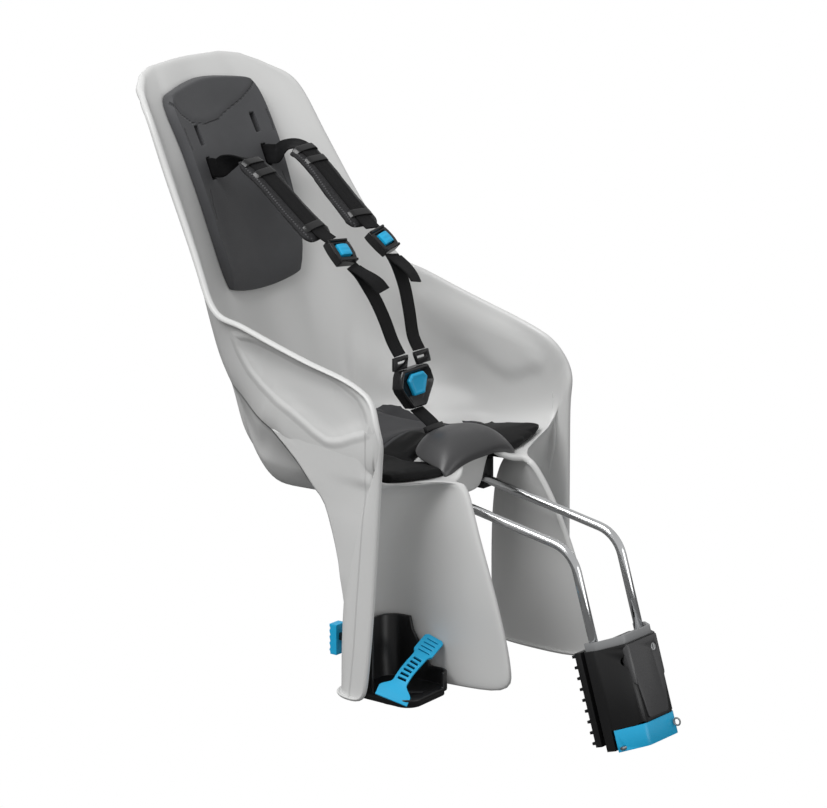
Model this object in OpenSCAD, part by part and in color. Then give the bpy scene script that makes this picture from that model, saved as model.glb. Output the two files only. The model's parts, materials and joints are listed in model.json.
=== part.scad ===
// Rear child seat that hangs on a bicycle's seat tube.
// Origin on the axis of the clamp bore, +Z up, the child faces -Y.
// The one-piece shell is a thick sheet lofted through cross-sections, with its free edge rolled outwards.

/* [Seat tube clamp] */
// Outside diameter of the frame tube that the bracket grips
tube_d = 31.8; // [28:0.1:36]
// Lean of the frame tube from upright, in degrees
tube_lean = 16.75; // [12:0.25:20]
// Thickness of the rubber liners
liner_t = 2.2; // [1.5:0.1:3]
// Half width of the bracket
bracket_half_w = 50; // [48:0.5:56]
// Height of the bracket below the origin, along the tube
bracket_down = 48; // [44:1:60]
// Height of the bracket above the origin, along the tube
bracket_up = 62; // [54:1:75]
// How far the nose of the bracket stands in front of the tube axis
bracket_nose = 43; // [40:0.5:52]

/* [Carry bar] */
// Diameter of the sprung steel rod
rod_d = 10; // [8:0.5:11]
// Half distance between the two rods
rod_half_gap = 41; // [39:0.5:42]
// Distance of the rod legs in front of the tube axis
rod_forward = 11; // [9:0.5:14]
// Radius of the bends
rod_bend_r = 38; // [30:1:45]
// Height of the rods where they run under the pan
rod_z = 197; // [190:0.5:198]

/* [Shell] */
// Half width at the arms
arm_half_w = 156; // [140:1:175]
// Half width of the upper back
back_half_w = 131; // [120:1:145]
// Half width at the feet of the leg guards
guard_half_w = 180; // [168:1:195]
// Half gap between the guards at the pan
spine_half_w = 64; // [60:1:68]
// Half gap between the guards lower down
gap_half_w = 80; // [76:1:86]
// Height of the pan floor
pan_z = 224; // [222:1:235]
// Front edge of the pan
pan_front_y = 183; // [170:1:200]
// Depth of the pan
pan_depth = 265; // [240:1:300]
// Height of the back above the pan floor
back_h = 404; // [350:1:450]
// Lean of the lower back, in degrees
back_lean = 17.8; // [10:0.2:24]
// Height of the arms above the pan floor at their rear
arm_rise_rear = 178; // [150:1:200]
// Height of the arms above the pan floor at their front
arm_rise_front = 103; // [85:1:115]
// Length of the leg guards below the pan floor
guard_len = 222; // [190:1:260]
// Wall thickness of the moulding
wall = 3.6; // [3:0.1:4.5]
// Radius of the rolled outer rim
rim_r = 5; // [4:0.5:8]

/* [Pads] */
// Thickness of the back pad
back_pad_t = 12; // [8:0.5:15]
// Thickness of the seat pad
seat_pad_t = 13; // [8:0.5:16]

/* [Footrests] */
// Half distance between the middles of the two footrests
foot_half_gap = 127; // [124:1:130]
// Height of the footrest soles in their lowest place
sole_z = 0; // [-6:0.5:10]

/* [Harness] */
// Width of the webbing
web_w = 22; // [18:0.5:24]
// Thickness of the webbing
web_t = 1.8; // [1.2:0.1:2.2]
// Width of the shoulder pads
shoulder_pad_w = 44; // [36:1:48]
// Thickness of the shoulder pads
shoulder_pad_t = 9; // [6:0.5:10]

/* [Hidden] */
$fn = 48;

// Clearances
seat_gap = 0.3;
run_gap = 0.35;
bore_gap = 0.1;

// Colours
shell_grey = [0.74, 0.74, 0.72];
pad_grey = [0.23, 0.23, 0.24];
black = [0.07, 0.07, 0.07];
blue = [0.10, 0.60, 0.85];
steel = [0.78, 0.79, 0.80];
cover_grey = [0.36, 0.36, 0.36];

// Small vector and list helpers
function unit(v) = v / norm(v);
function lerp(a, b, t) = a + (b - a) * t;
function mirror_x(v) = [-v.x, v.y, v.z];
function steps(a, b, n) = [for (i = [0:n - 1]) a + (b - a) * i / n];
function flat(lists) = [for (l = lists) each l];

// Point in the frame of the seat tube: x across, b back from its axis, s up along it
function on_tube(x, b, s) =
    [x, b * cos(tube_lean) + s * sin(tube_lean), s * cos(tube_lean) - b * sin(tube_lean)];

module tube_frame() {
    rotate([-tube_lean, 0, 0]) children();
}

module both_sides() {
    children();
    mirror([1, 0, 0]) children();
}

// Line of the back: how far it lies behind the pan's rear corner at height h above the pan
head_start = 0.57;
head_curve = 0.00095;
function back_y(h) =
    pan_front_y + pan_depth + 5 + tan(back_lean) * h
    + head_curve * pow(max(0, h - head_start * back_h), 2);

// Middle of the nose's front edge, behind and above the front edge of the pan
nose_back = 22;
nose_rise = 24;

// Cross-sections that the shell is lofted through. Each holds the centre point [y, z], then four
// control points [x, y, z] of a curve from the spine line out to the rim.
function back_section(f, xs, forward, rise) =
    let (h = f * back_h, y = back_y(h), z = pan_z + h)
    [[y, z], [for (k = [0:3]) [xs[k], y - forward[k], z + rise[k]]]];

function pan_section(f, lift, low, side, rim_f, rim_t, rim_x) =
    let (y = pan_front_y + f * pan_depth)
    [[y, pan_z + lift],
     [[spine_half_w, y - 1, pan_z + lift - 1],
      [low[0] * arm_half_w, y + low[1], pan_z + low[2]],
      [side[0] * arm_half_w, y + side[1], pan_z + side[2]],
      [rim_x, pan_front_y + rim_f * pan_depth, pan_z + lerp(arm_rise_rear, arm_rise_front, rim_t)]]];

function guard_section(f, in_t, in_y, rear_y, out_t, rim_y, rim_drop) =
    let (z = pan_z - f * guard_len,
         xi = lerp(spine_half_w, gap_half_w, in_t),
         xo = lerp(arm_half_w + 9, guard_half_w, out_t))
    [[pan_front_y + 32, z],
     [[xi, pan_front_y + in_y, z + 4],
      [xi + 2, pan_front_y + rear_y, z],
      [xo, pan_front_y + rear_y - 2, z],
      [xo - 2, pan_front_y + rim_y, pan_z - rim_drop * guard_len]]];

sections = [
    // Top edge of the back, and the upper back below it
    back_section(1.00, [0.43, 0.56, 0.66, 0.78] * back_half_w, [4, 9, 17, 25], [-1, -4, -8, -14]),
    back_section(0.94, [0.48, 0.66, 0.86, 0.92] * back_half_w, [7, 14, 28, 43], [-2, -4, -9, -14]),
    back_section(0.78, [0.49, 0.68, 0.90, 1.00] * back_half_w, [8, 15, 30, 44], [-1, -2, -5, -9]),
    back_section(0.57, [0.49, 0.72, 0.98, 1.09] * back_half_w, [8, 17, 38, 60], [0, -1, -5, -10]),
    back_section(0.41, [0.41, 0.62, 0.92, 1.00] * arm_half_w, [7, 17, 48, 72], [0, -2, -4, 5]),
    // Lower back, where the rim runs forward into the arm
    [[back_y(0.19 * back_h), pan_z + 0.19 * back_h],
     [[spine_half_w, back_y(0.19 * back_h) - 6, pan_z + 0.19 * back_h],
      [0.62 * arm_half_w, back_y(0.19 * back_h) - 15, pan_z + 0.17 * back_h],
      [0.90 * arm_half_w, back_y(0.19 * back_h) - 46, pan_z + 0.19 * back_h],
      [arm_half_w, pan_front_y + 0.811 * pan_depth, pan_z + lerp(arm_rise_rear, arm_rise_front, 0.25)]]],
    // Corner between the back and the pan
    pan_section(1.00, 18, [0.68, -6, 11], [0.92, -34, 24], 0.611, 0.46, arm_half_w),
    // The pan, rear to front, with the raised nose in its middle
    pan_section(0.80, 0, [0.76, -2, -24], [1.00, -15, 32], 0.426, 0.64, arm_half_w),
    pan_section(0.52, -1, [0.75, -2, -30], [1.04, -14, 26], 0.268, 0.78, arm_half_w - 2),
    [[pan_front_y + 57, pan_z + nose_rise - 2],
     [[spine_half_w, pan_front_y + 60, pan_z - 1],
      [spine_half_w + 46, pan_front_y + 64, pan_z - 4],
      [1.07 * arm_half_w, pan_front_y + 66, pan_z + 10],
      [arm_half_w + 1, pan_front_y + 34, pan_z + arm_rise_front]]],
    [[pan_front_y + nose_back, pan_z + nose_rise],
     [[spine_half_w, pan_front_y, pan_z + 2],
      [spine_half_w + 36, pan_front_y + 13, pan_z + 4],
      [arm_half_w + 13, pan_front_y + 31, pan_z + 14],
      [arm_half_w + 9, pan_front_y + 18, pan_z + 0.74 * arm_rise_front]]],
    // The leg guards, from under the pan down to the feet
    guard_section(0.054, 0.20, -17, 44, 0.03, 17, -0.170),
    guard_section(0.250, 0.75, -38, 68, 0.20, 19, 0.108),
    guard_section(0.514, 1.00, -62, 76, 0.47, 22, 0.468),
    guard_section(0.784, 0.95, -79, 77, 0.76, 25, 0.761),
    guard_section(1.000, 1.00, -88, 74, 1.00, 29, 1.010)
];

// How square each section is at its two bends
fullness = [1, 1, 1, 1, 1, 1, 1.2, 1.5, 1.5, 1.5, 1.5, 1.6, 1.7, 1.8, 1.8, 1.8];

// Stations along the shell, counted in sections
top_station = 0;
front_station = 10;
foot_station = 15;
slot_high = [1.70, 1.98];
slot_low = [2.14, 2.42];
crotch_slot = [8.72, 8.86];
rail_slot = [12.05, 14.1];
stations = concat(
    [0, 0.35, 0.7, 1.0, 1.35], slot_high, slot_low, [2.8, 3.3, 3.8],
    [4.25, 4.65, 5, 5.35, 5.7, 6, 6.35, 6.7, 7, 7.5, 8, 8.4],
    crotch_slot, [9.15, 9.45, 9.75, 10],
    [10.3, 10.6, 10.9, 11.3, 11.7, rail_slot[0], 12.6, 13.2, 13.7, rail_slot[1], 14.5, 15]);

// Catmull-Rom curve through a list of points or numbers
function spline(p, u) =
    let (n = len(p) - 1,
         i = min(n - 1, max(0, floor(u))),
         t = u - i,
         a = p[max(0, i - 1)], b = p[i], c = p[i + 1], d = p[min(n, i + 2)])
    0.5 * (2 * b + (c - a) * t + (2 * a - 5 * b + 4 * c - d) * t * t
        + (3 * b - a - 3 * c + d) * t * t * t);

// Curve from q[0] to q[3] that turns at q[1] and q[2]; a larger f makes the turns squarer
function bend(a, b, c, t, f) =
    let (k = 1 - t)
    (k * k * a + 2 * f * k * t * b + t * t * c) / (k * k + 2 * f * k * t + t * t);
function section_curve(q, v, f) =
    let (m = (q[1] + q[2]) / 2)
    v < 0.5 ? bend(q[0], q[1], m, 2 * v, f) : bend(m, q[2], q[3], 2 * v - 1, f);

centres = [for (s = sections) s[0]];
edges = [for (k = [0:3]) [for (s = sections) s[1][k]]];

// The neck under the nose, below the front edge of the pan
neck_half_w = 31;
neck_bottom_z = 190;
neck_line = [[pan_front_y + nose_back, pan_z + nose_rise], [pan_front_y + 31, pan_z + 2],
             [pan_front_y + 35, neck_bottom_z]];
neck_span = 1.3;

// Visible face of the shell: u is the station, h runs from the middle (0) past the spine line (1)
// to the rim (2), and negative h is the other side
function shell_at(u, h) =
    let (a = abs(h), sx = h < 0 ? -1 : 1)
    a < 0.99 && u > front_station
        ? let (c = spline(neck_line, (u - front_station) / neck_span * 2),
               e = a * spine_half_w / neck_half_w,
               t = (1 - (u - front_station) / neck_span))
          [sx * a * spine_half_w, c.x - 2 * e * e * (1 + 2 * t), c.y - 7 * e * e * t]
        : let (v = max(0, a - 1),
               q = [for (k = [0:3]) spline(edges[k], u)],
               c = spline(centres, u),
               e = a * a * (3 - 2 * a),
               r = a >= 1 ? section_curve(q, v, spline(fullness, u))
                 : [q[0].x * a, lerp(c.x, q[0].y, e), lerp(c.y, q[0].z, e)])
          [sx * r.x, r.y, r.z];

// Unit normal of the shell, pointing away from the child
step_u = 0.06;
step_h = 0.04;
function shell_normal(u, h) =
    let (neck = u > front_station && abs(h) < 0.99,
         least_u = neck ? front_station + 0.02 : u > front_station ? front_station : 0,
         lo_u = max(u - step_u, least_u),
         hi_u = neck ? u + step_u
              : (abs(h) < 1 ? min(u + step_u, front_station) : min(u + step_u, foot_station)),
         lo_h = h > 0.99 && u > front_station ? max(h - step_h, 1) : max(h - step_h, -2),
         hi_h = h < -0.99 && u > front_station ? min(h + step_h, -1) : min(h + step_h, 2),
         du = shell_at(hi_u, h) - shell_at(lo_u, h),
         dh = shell_at(u, hi_h) - shell_at(u, lo_h))
    unit(cross(dh, du));

function off_shell(u, h, d) = shell_at(u, h) + d * shell_normal(u, h);

// Columns across the shell: the neck, the narrow band of the strap slots, and out to the rim
slot_x = 49;
slot_w = 7;
web_half = web_w / 2 + 3;
rail_v = [1.56, 1.61];
half_columns = concat(
    [0, web_half / spine_half_w, neck_half_w / spine_half_w,
     (slot_x - slot_w / 2) / spine_half_w, (slot_x + slot_w / 2) / spine_half_w],
    [1, 1.1, 1.2, 1.3, 1.4, 1.48], rail_v, [1.7, 1.8, 1.9, 2]);
mid = len(half_columns) - 1;
rail_col = search(rail_v[0], half_columns)[0];
columns = concat([for (k = [0:mid - 1]) -half_columns[mid - k]], half_columns);
spine_col = 5;
neck_col = 2;
last_col = 2 * mid;
last_row = len(stations) - 1;
front_row = search(front_station, stations)[0];
neck_row = front_row + 4;

function row_of(u) = search(u, stations)[0];

// Which cells of the grid are material: cell [i, j] lies between rows i, i+1 and columns j, j+1
function shell_cell(i, j) =
    let (a = j < mid ? mid - 1 - j : j - mid)
    i < 0 || i >= last_row || j < 0 || j >= last_col ? false
    : i >= row_of(rail_slot[0]) && i < row_of(rail_slot[1]) && a == rail_col ? false
    : i >= front_row ? (a >= spine_col || (a < neck_col && i < neck_row))
    : (i == row_of(slot_high[0]) || i == row_of(slot_low[0])) && a == 3 ? false
    : i == row_of(crotch_slot[0]) && a < 1 ? false
    : true;

// The free edge of the shell, followed all the way round
rim_walk = concat(
    [for (j = [0:last_col]) [0, j]],
    [for (i = [1:last_row]) [i, last_col]],
    [for (j = [last_col - 1:-1:mid + spine_col]) [last_row, j]],
    [for (i = [last_row - 1:-1:front_row]) [i, mid + spine_col]],
    [for (j = [mid + spine_col - 1:-1:mid + neck_col]) [front_row, j]],
    [for (i = [front_row + 1:neck_row]) [i, mid + neck_col]],
    [for (j = [mid + neck_col - 1:-1:mid - neck_col]) [neck_row, j]],
    [for (i = [neck_row - 1:-1:front_row]) [i, mid - neck_col]],
    [for (j = [mid - neck_col - 1:-1:mid - spine_col]) [front_row, j]],
    [for (i = [front_row + 1:last_row]) [i, mid - spine_col]],
    [for (j = [mid - spine_col - 1:-1:0]) [last_row, j]],
    [for (i = [last_row - 1:-1:1]) [i, 0]]);

// Radius of the roll at each place of the walk: full outside, small on the inner walls and the neck
inner_rim_r = 5;
front_rim_r = 4.2;
function roll_at(p) =
    let (a = abs(p[1] - mid))
    a < spine_col && p[0] >= front_row ? front_rim_r
    : a == spine_col && p[0] >= front_row ? (p[0] == front_row ? front_rim_r : inner_rim_r)
    : p[0] == last_row ? (a == mid ? rim_r * 0.8 : inner_rim_r)
    : rim_r;

roll_steps = 3;

// Closed solid from points and faces, each face counted the right-hand way from outside
module solid_of(points, faces) {
    polyhedron(points, [for (f = faces) [for (k = [len(f) - 1:-1:0]) f[k]]], convexity = 10);
}

// Two grids of points, nj to a row, the second one numbered from off on: both skins of one cell,
// and the wall between the skins from corner p to corner q
function corner(i, j, nj, off) = [i * nj + j, off + i * nj + j];
function cell_skins(i, j, nj, off) =
    let (a = i * nj + j, b = a + nj, c = off + a, d = off + b)
    [[a, b, b + 1], [a, b + 1, a + 1], [c, d + 1, d], [c, c + 1, d + 1]];
function wall_of(p, q) = [[p[0], q[0], q[1]], [p[0], q[1], p[1]]];
function cell_walls(i, j, nj, off, up, down, left, right) =
    let (a = corner(i, j, nj, off), b = corner(i + 1, j, nj, off),
         c = corner(i + 1, j + 1, nj, off), d = corner(i, j + 1, nj, off))
    concat(up ? wall_of(a, d) : [], down ? wall_of(c, b) : [],
           left ? wall_of(b, a) : [], right ? wall_of(d, c) : []);

// Solid sheet between grids a and b, with only the cells that are on
module sheet_solid(a, b, on) {
    ni = len(a);
    nj = len(a[0]);
    function is_on(i, j) = i >= 0 && j >= 0 && i < ni - 1 && j < nj - 1 && on[i][j];
    solid_of(concat(flat(a), flat(b)),
        [for (i = [0:ni - 2]) each [for (j = [0:nj - 2]) if (is_on(i, j)) each concat(
            cell_skins(i, j, nj, ni * nj),
            cell_walls(i, j, nj, ni * nj, !is_on(i - 1, j), !is_on(i + 1, j),
                       !is_on(i, j - 1), !is_on(i, j + 1)))]]);
}

module slab(a, b) {
    sheet_solid(a, b, [for (r = a) [for (p = r) true]]);
}

module seat_shell() {
    nj = last_col + 1;
    face = [for (u = stations) [for (h = columns) shell_at(u, h)]];
    normals = [for (u = stations) [for (h = columns) shell_normal(u, h)]];
    n_loop = len(rim_walk);
    loop = [for (m = [0:n_loop - 1])
        let (p = rim_walk[m],
             q = rim_walk[(m + 1) % n_loop],
             o = rim_walk[(m + n_loop - 1) % n_loop],
             n = normals[p[0]][p[1]],
             along = unit(face[q[0]][q[1]] - face[o[0]][o[1]]))
        [face[p[0]][p[1]], n, unit(cross(along, n)), roll_at(p)]];
    rings = [for (e = loop) each
        [for (side = [0, 1]) each
            [for (k = [1:roll_steps])
                let (a = 180 * k / roll_steps,
                     r = e[3] - side * wall)
                e[0] + e[1] * e[3] + r * (e[2] * sin(a) - e[1] * cos(a))]]];
    points = concat(
        flat(face),
        [for (i = [0:last_row]) each [for (j = [0:last_col]) face[i][j] + wall * normals[i][j]]],
        rings);
    back = nj * (last_row + 1);
    ring0 = 2 * back;
    per = 2 * roll_steps;
    // Vertex number of step k of the roll at walk place m, on the face side (0) or the back side (1)
    function v(m, side, k) =
        let (w = m % n_loop)
        k == 0 ? side * back + rim_walk[w][0] * nj + rim_walk[w][1]
               : ring0 + w * per + side * roll_steps + k - 1;
    skin = [for (i = [0:last_row - 1]) each
        [for (j = [0:last_col - 1]) if (shell_cell(i, j)) each cell_skins(i, j, nj, back)]];
    roll = [for (m = [0:n_loop - 1]) each
        [for (k = [0:roll_steps - 1]) each
            [[v(m, 0, k), v(m + 1, 0, k), v(m + 1, 0, k + 1)],
             [v(m, 0, k), v(m + 1, 0, k + 1), v(m, 0, k + 1)],
             [v(m, 1, k), v(m + 1, 1, k + 1), v(m + 1, 1, k)],
             [v(m, 1, k), v(m, 1, k + 1), v(m + 1, 1, k + 1)]]]];
    end = [for (m = [0:n_loop - 1]) each
        [[v(m, 0, roll_steps), v(m + 1, 0, roll_steps), v(m + 1, 1, roll_steps)],
         [v(m, 0, roll_steps), v(m + 1, 1, roll_steps), v(m, 1, roll_steps)]]];
    // Walls round the slots, from each cell of material beside one
    function gone(i, j) =
        let (a = j < mid ? mid - 1 - j : j - mid)
        i > 0 && i < last_row && !shell_cell(i, j) && (i < front_row || a == rail_col)
        && j > 0 && j < last_col;
    slot_walls = [for (i = [1:last_row - 1]) each
        [for (j = [1:last_col - 2]) if (shell_cell(i, j)) each
            cell_walls(i, j, nj, back, gone(i - 1, j), gone(i + 1, j), gone(i, j - 1), gone(i, j + 1))]];
    color(shell_grey) solid_of(points, concat(skin, roll, end, slot_walls));
}

// Pads lie on the shell. Their columns are the shell's own, so that both bend alike.
pad_gap = 0.8;
pad_columns = [for (k = [0:spine_col]) half_columns[k]];
function half_edge(c) = concat([for (k = [len(c) - 1:-1:1]) -c[k]], c);

back_pad_us = [1.08, 1.16, 1.40, slot_high[0], slot_high[1], slot_low[0], slot_low[1], 2.8, 3.3, 3.78, 4.0];
back_pad_edge = [1.04, 1.14, 1.20, 1.23, 1.25, 1.27, 1.27, 1.25, 1.20, 1.10, 0.99];
back_pad_bow = [-0.15, -0.13, -0.06, 0, 0, 0, 0, 0, 0.02, 0.10, 0.13];

module back_pad() {
    n = len(back_pad_us) - 1;
    function hs(i) = half_edge(concat([for (k = [0:spine_col - 1]) pad_columns[k] * min(1, back_pad_edge[i])],
                                      [lerp(pad_columns[spine_col - 1], back_pad_edge[i], 0.5),
                                       back_pad_edge[i] - 0.04, back_pad_edge[i]]));
    function at(i, k, d) =
        let (h = hs(i)[k], e = h / back_pad_edge[i])
        off_shell(back_pad_us[i] + back_pad_bow[i] * (1 - e * e), h, -d);
    nk = len(hs(0)) - 1;
    function thick(i, k) =
        let (rim = k == 0 || k == nk || i == 0 || i == n)
        rim ? pad_gap + back_pad_t * 0.45 : pad_gap + back_pad_t;
    // The strap slots are the cells between the fourth and fifth columns
    function open(i, k) =
        let (a = abs(k - nk / 2 + 0.5))
        abs(a - 3.5) < 0.1 && (back_pad_us[i] == slot_high[0] || back_pad_us[i] == slot_low[0]);
    color(pad_grey)
        sheet_solid([for (i = [0:n]) [for (k = [0:nk]) at(i, k, thick(i, k))]],
                    [for (i = [0:n]) [for (k = [0:nk]) at(i, k, pad_gap)]],
                    [for (i = [0:n]) [for (k = [0:nk]) !open(i, k)]]);
}

seat_pad_us = [6.35, 6.7, 7, 7.5, 8, 8.4, 8.72, 8.86, 9.15, 9.45, 9.75];
seat_pad_top = [0.55, 1, 1, 1, 1, 1, 1, 1, 1, 1, 0.75];
seat_pad_out = [1.1, 1.2, 1.3, 1.4, 1.48];

// The seat pad fills the pan and has a thigh roll on each side of the nose
module seat_pad() {
    hs = half_edge(concat(pad_columns, seat_pad_out));
    n = len(seat_pad_us) - 1;
    nk = len(hs) - 1;
    function low(i, k) = off_shell(seat_pad_us[i], hs[k], -pad_gap - (i == n ? 0.5 : 0));
    // The pad follows the shell, thinner along its rim
    function top(i, k) =
        let (p = low(i, k),
             nose = seat_pad_us[i] > 8.7 ? max(0, p.z - pan_z - 3) : 0,
             rim = k == 0 || k == nk || i == 0 || i == n,
             t = seat_pad_t * seat_pad_top[i] * (rim && i > 0 && i < n ? 0.8 : 1))
        [p.x, p.y - (seat_pad_us[i] < 7 ? 8 : 0), p.z + t - nose * 0.25];
    // The nose stays bare, and the crotch strap comes up through a gap
    function bare(i, k) =
        let (a = abs(hs[k] + hs[k + 1]) / 2)
        (seat_pad_us[i] >= 8.86 && a < 1) || (seat_pad_us[i] == 8.72 && a < pad_columns[1]);
    color(pad_grey)
        sheet_solid([for (i = [0:n]) [for (k = [0:nk]) top(i, k)]],
                    [for (i = [0:n]) [for (k = [0:nk]) low(i, k)]],
                    [for (i = [0:n - 1]) [for (k = [0:nk - 1]) !bare(i, k)]]);
}

function crotch_root() = (shell_at(crotch_slot[0], 0) + shell_at(crotch_slot[1], 0)) / 2;

// Domed cover on the nose, with its corners turned down
cover_t = 3;
cover_half_w = 53;
cover_front_y = pan_front_y + 4;
cover_rear_y = pan_front_y + 61;

module nose_cover() {
    peak = pan_z + 42;
    rows = [0, 0.05, 0.16, 0.4, 0.75, 1];
    drop = [22, 15, 7, 0, 2, 6];
    narrow = [0.95, 1, 1, 1, 0.96, 0.9];
    cols = [0, 0.3, 0.55, 0.78, 0.93, 1];
    function top(i, c, d) =
        [(cover_half_w - d * 0.7) * narrow[i] * c,
         lerp(cover_front_y, cover_rear_y, rows[i]) + 4 * (1 - rows[i]) * pow(c, 4) + d * (i == 0 ? 0.8 : 0),
         peak - drop[i] * (1 - 0.35 * c * c) - 16 * pow(abs(c), 2.6)
             - (abs(c) == 1 ? 5 : 0) - (i == 0 ? d * 0.3 : d)];
    color(pad_grey)
        slab([for (i = [5:-1:0]) [for (c = half_edge(cols)) top(i, c, 0)]],
             [for (i = [5:-1:0]) [for (c = half_edge(cols)) top(i, c, cover_t)]]);
}

// Round rod along a list of points, with round bends
bend_steps = 7;
rod_sides = 20;
function way(p, i) = unit(p[i + 1] - p[i]);
function arc_points(p, i, r) =
    let (d1 = way(p, i - 1), d2 = way(p, i),
         turn = acos(d1 * d2),
         out = cross(d1, unit(cross(d1, d2))),
         start = p[i] - d1 * r * tan(turn / 2))
    [for (k = [0:bend_steps])
        let (a = turn * k / bend_steps)
        start - out * r + out * r * cos(a) + d1 * r * sin(a)];
function rounded(p, r) =
    concat([p[0]], [for (i = [1:len(p) - 2]) each arc_points(p, i, r)], [p[len(p) - 1]]);

module rod(path, d, bend) {
    line = rounded(path, bend);
    n = len(line) - 1;
    heads = [for (i = [0:n]) unit(unit(line[min(n, i + 1)] - line[max(0, i - 1)]))];
    square_to = [for (i = 0, u = perp(heads[0]); i <= n;
                      i = i + 1, u = i <= n ? unit(u - heads[i] * (heads[i] * u)) : u) u];
    rings = [for (i = [0:n])
        let (u = square_to[i], w = cross(heads[i], u))
        [for (k = [0:rod_sides - 1])
            line[i] + (u * cos(360 * k / rod_sides) + w * sin(360 * k / rod_sides)) * d / 2]];
    faces = concat(
        [[for (k = [rod_sides - 1:-1:0]) k]],
        [for (i = [0:n - 1]) each
            [for (k = [0:rod_sides - 1]) each
                let (a = i * rod_sides + k, b = i * rod_sides + (k + 1) % rod_sides)
                [[a, b + rod_sides, a + rod_sides], [a, b, b + rod_sides]]]],
        [[for (k = [0:rod_sides - 1]) n * rod_sides + k]]);
    solid_of(flat(rings), faces);
}

function perp(v) = unit(abs(v.x) < 0.9 ? cross(v, [1, 0, 0]) : cross(v, [0, 1, 0]));

// Carry bar: up out of the bracket, back under the pan and round behind it
rod_depth = 36;
rod_rear_y = pan_front_y + 212;
rod_level_y = pan_front_y + 30;
function rod_path(sx) =
    [on_tube(sx * rod_half_gap, -rod_forward, -rod_depth),
     on_tube(sx * rod_half_gap, -rod_forward, 171),
     [sx * rod_half_gap, rod_level_y, rod_z]];

module carry_bar() {
    l = rod_path(-1);
    r = rod_path(1);
    rear_l = [-rod_half_gap, rod_rear_y, rod_z];
    rear_r = [rod_half_gap, rod_rear_y, rod_z];
    color(steel)
        rod(concat(l, [rear_l, rear_r], [r[2], r[1], r[0]]), rod_d, rod_bend_r);
}

// Black blocks that hold the rods under the pan
block_bottom = rod_z - 10;
function pan_under_z() = pan_z - 3.2 - wall - seat_gap;
front_block_y = [pan_front_y + 33, pan_front_y + 110];
rear_block_y = [pan_front_y + 138, pan_front_y + 170];

module rod_holes(y0, y1) {
    for (sx = [-1, 1])
        translate([sx * rod_half_gap, y0 - 1, rod_z])
            rotate([-90, 0, 0]) cylinder(h = y1 - y0 + 2, d = rod_d + 2 * run_gap);
}

module bar_clamp_front() {
    y0 = front_block_y[0];
    y1 = front_block_y[1];
    color(black) difference() {
        union() {
            both_sides()
                translate([neck_half_w + 5, y0, block_bottom])
                    cube([18, 40, pan_z - 4 - block_bottom]);
            translate([-neck_half_w - 23, y0 + 38, block_bottom])
                cube([2 * neck_half_w + 46, y1 - y0 - 38, pan_under_z() - block_bottom]);
        }
        rod_holes(y0, y1);
        translate([0, 0, block_bottom - 1])
            linear_extrude(height = 12)
                translate([-22, y0 + 46]) square([44, y1 - y0 - 54]);
        screw_holes(front_screws);
    }
}

module bar_clamp_rear() {
    y0 = rear_block_y[0];
    y1 = rear_block_y[1];
    color(black) difference() {
        translate([-54, y0, block_bottom])
            cube([108, y1 - y0, pan_under_z() - block_bottom]);
        rod_holes(y0, y1);
        translate([-18, y0 + 5, block_bottom - 1]) cube([36, y1 - y0 - 10, 12]);
        screw_holes(rear_screws);
    }
}

screw_d = 6;
screw_head_d = 11;
front_screws = [for (sx = [-1, 1]) [sx * 25.5, pan_front_y + 98]];
rear_screws = [for (sx = [-1, 1]) [sx * 25.5, pan_front_y + 154]];

module screw_holes(places) {
    for (p = places)
        translate([p[0], p[1], block_bottom - 1])
            cylinder(h = 60, d = screw_d + 2 * bore_gap);
}

module clamp_screws() {
    color(steel)
        for (p = concat(front_screws, rear_screws))
            translate([p[0], p[1], block_bottom - 4])
                difference() {
                    union() {
                        cylinder(h = 3.9, d = screw_head_d);
                        cylinder(h = pan_under_z() - block_bottom + 3, d = screw_d);
                    }
                    translate([0, 0, -0.1]) cylinder(h = 2.6, d = 5, $fn = 6);
                }
}

// Plan outline of the bracket, in the frame of the tube; the nose points to -y
module bracket_plan(inset) {
    hull() {
        for (sx = [-1, 1]) {
            translate([sx * (bracket_half_w - 6 - inset), -14 - inset * 0]) circle(r = 6, $fn = 32);
            translate([sx * (bracket_half_w - 1 - inset), -3]) circle(r = 1, $fn = 32);
            translate([sx * (22 - inset * 0.5), -(bracket_nose - 9) + inset]) circle(r = 9, $fn = 32);
        }
    }
}

saddle_r = tube_d / 2 + bore_gap + liner_t;
bolt_d = 6;
bolt_x = 27;
bolt_s = [-30, 44];
lever_h = [-bracket_down - 2, -26];
lever_t = 5;
lever_tail = 5;
guide_h = 9;

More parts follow.
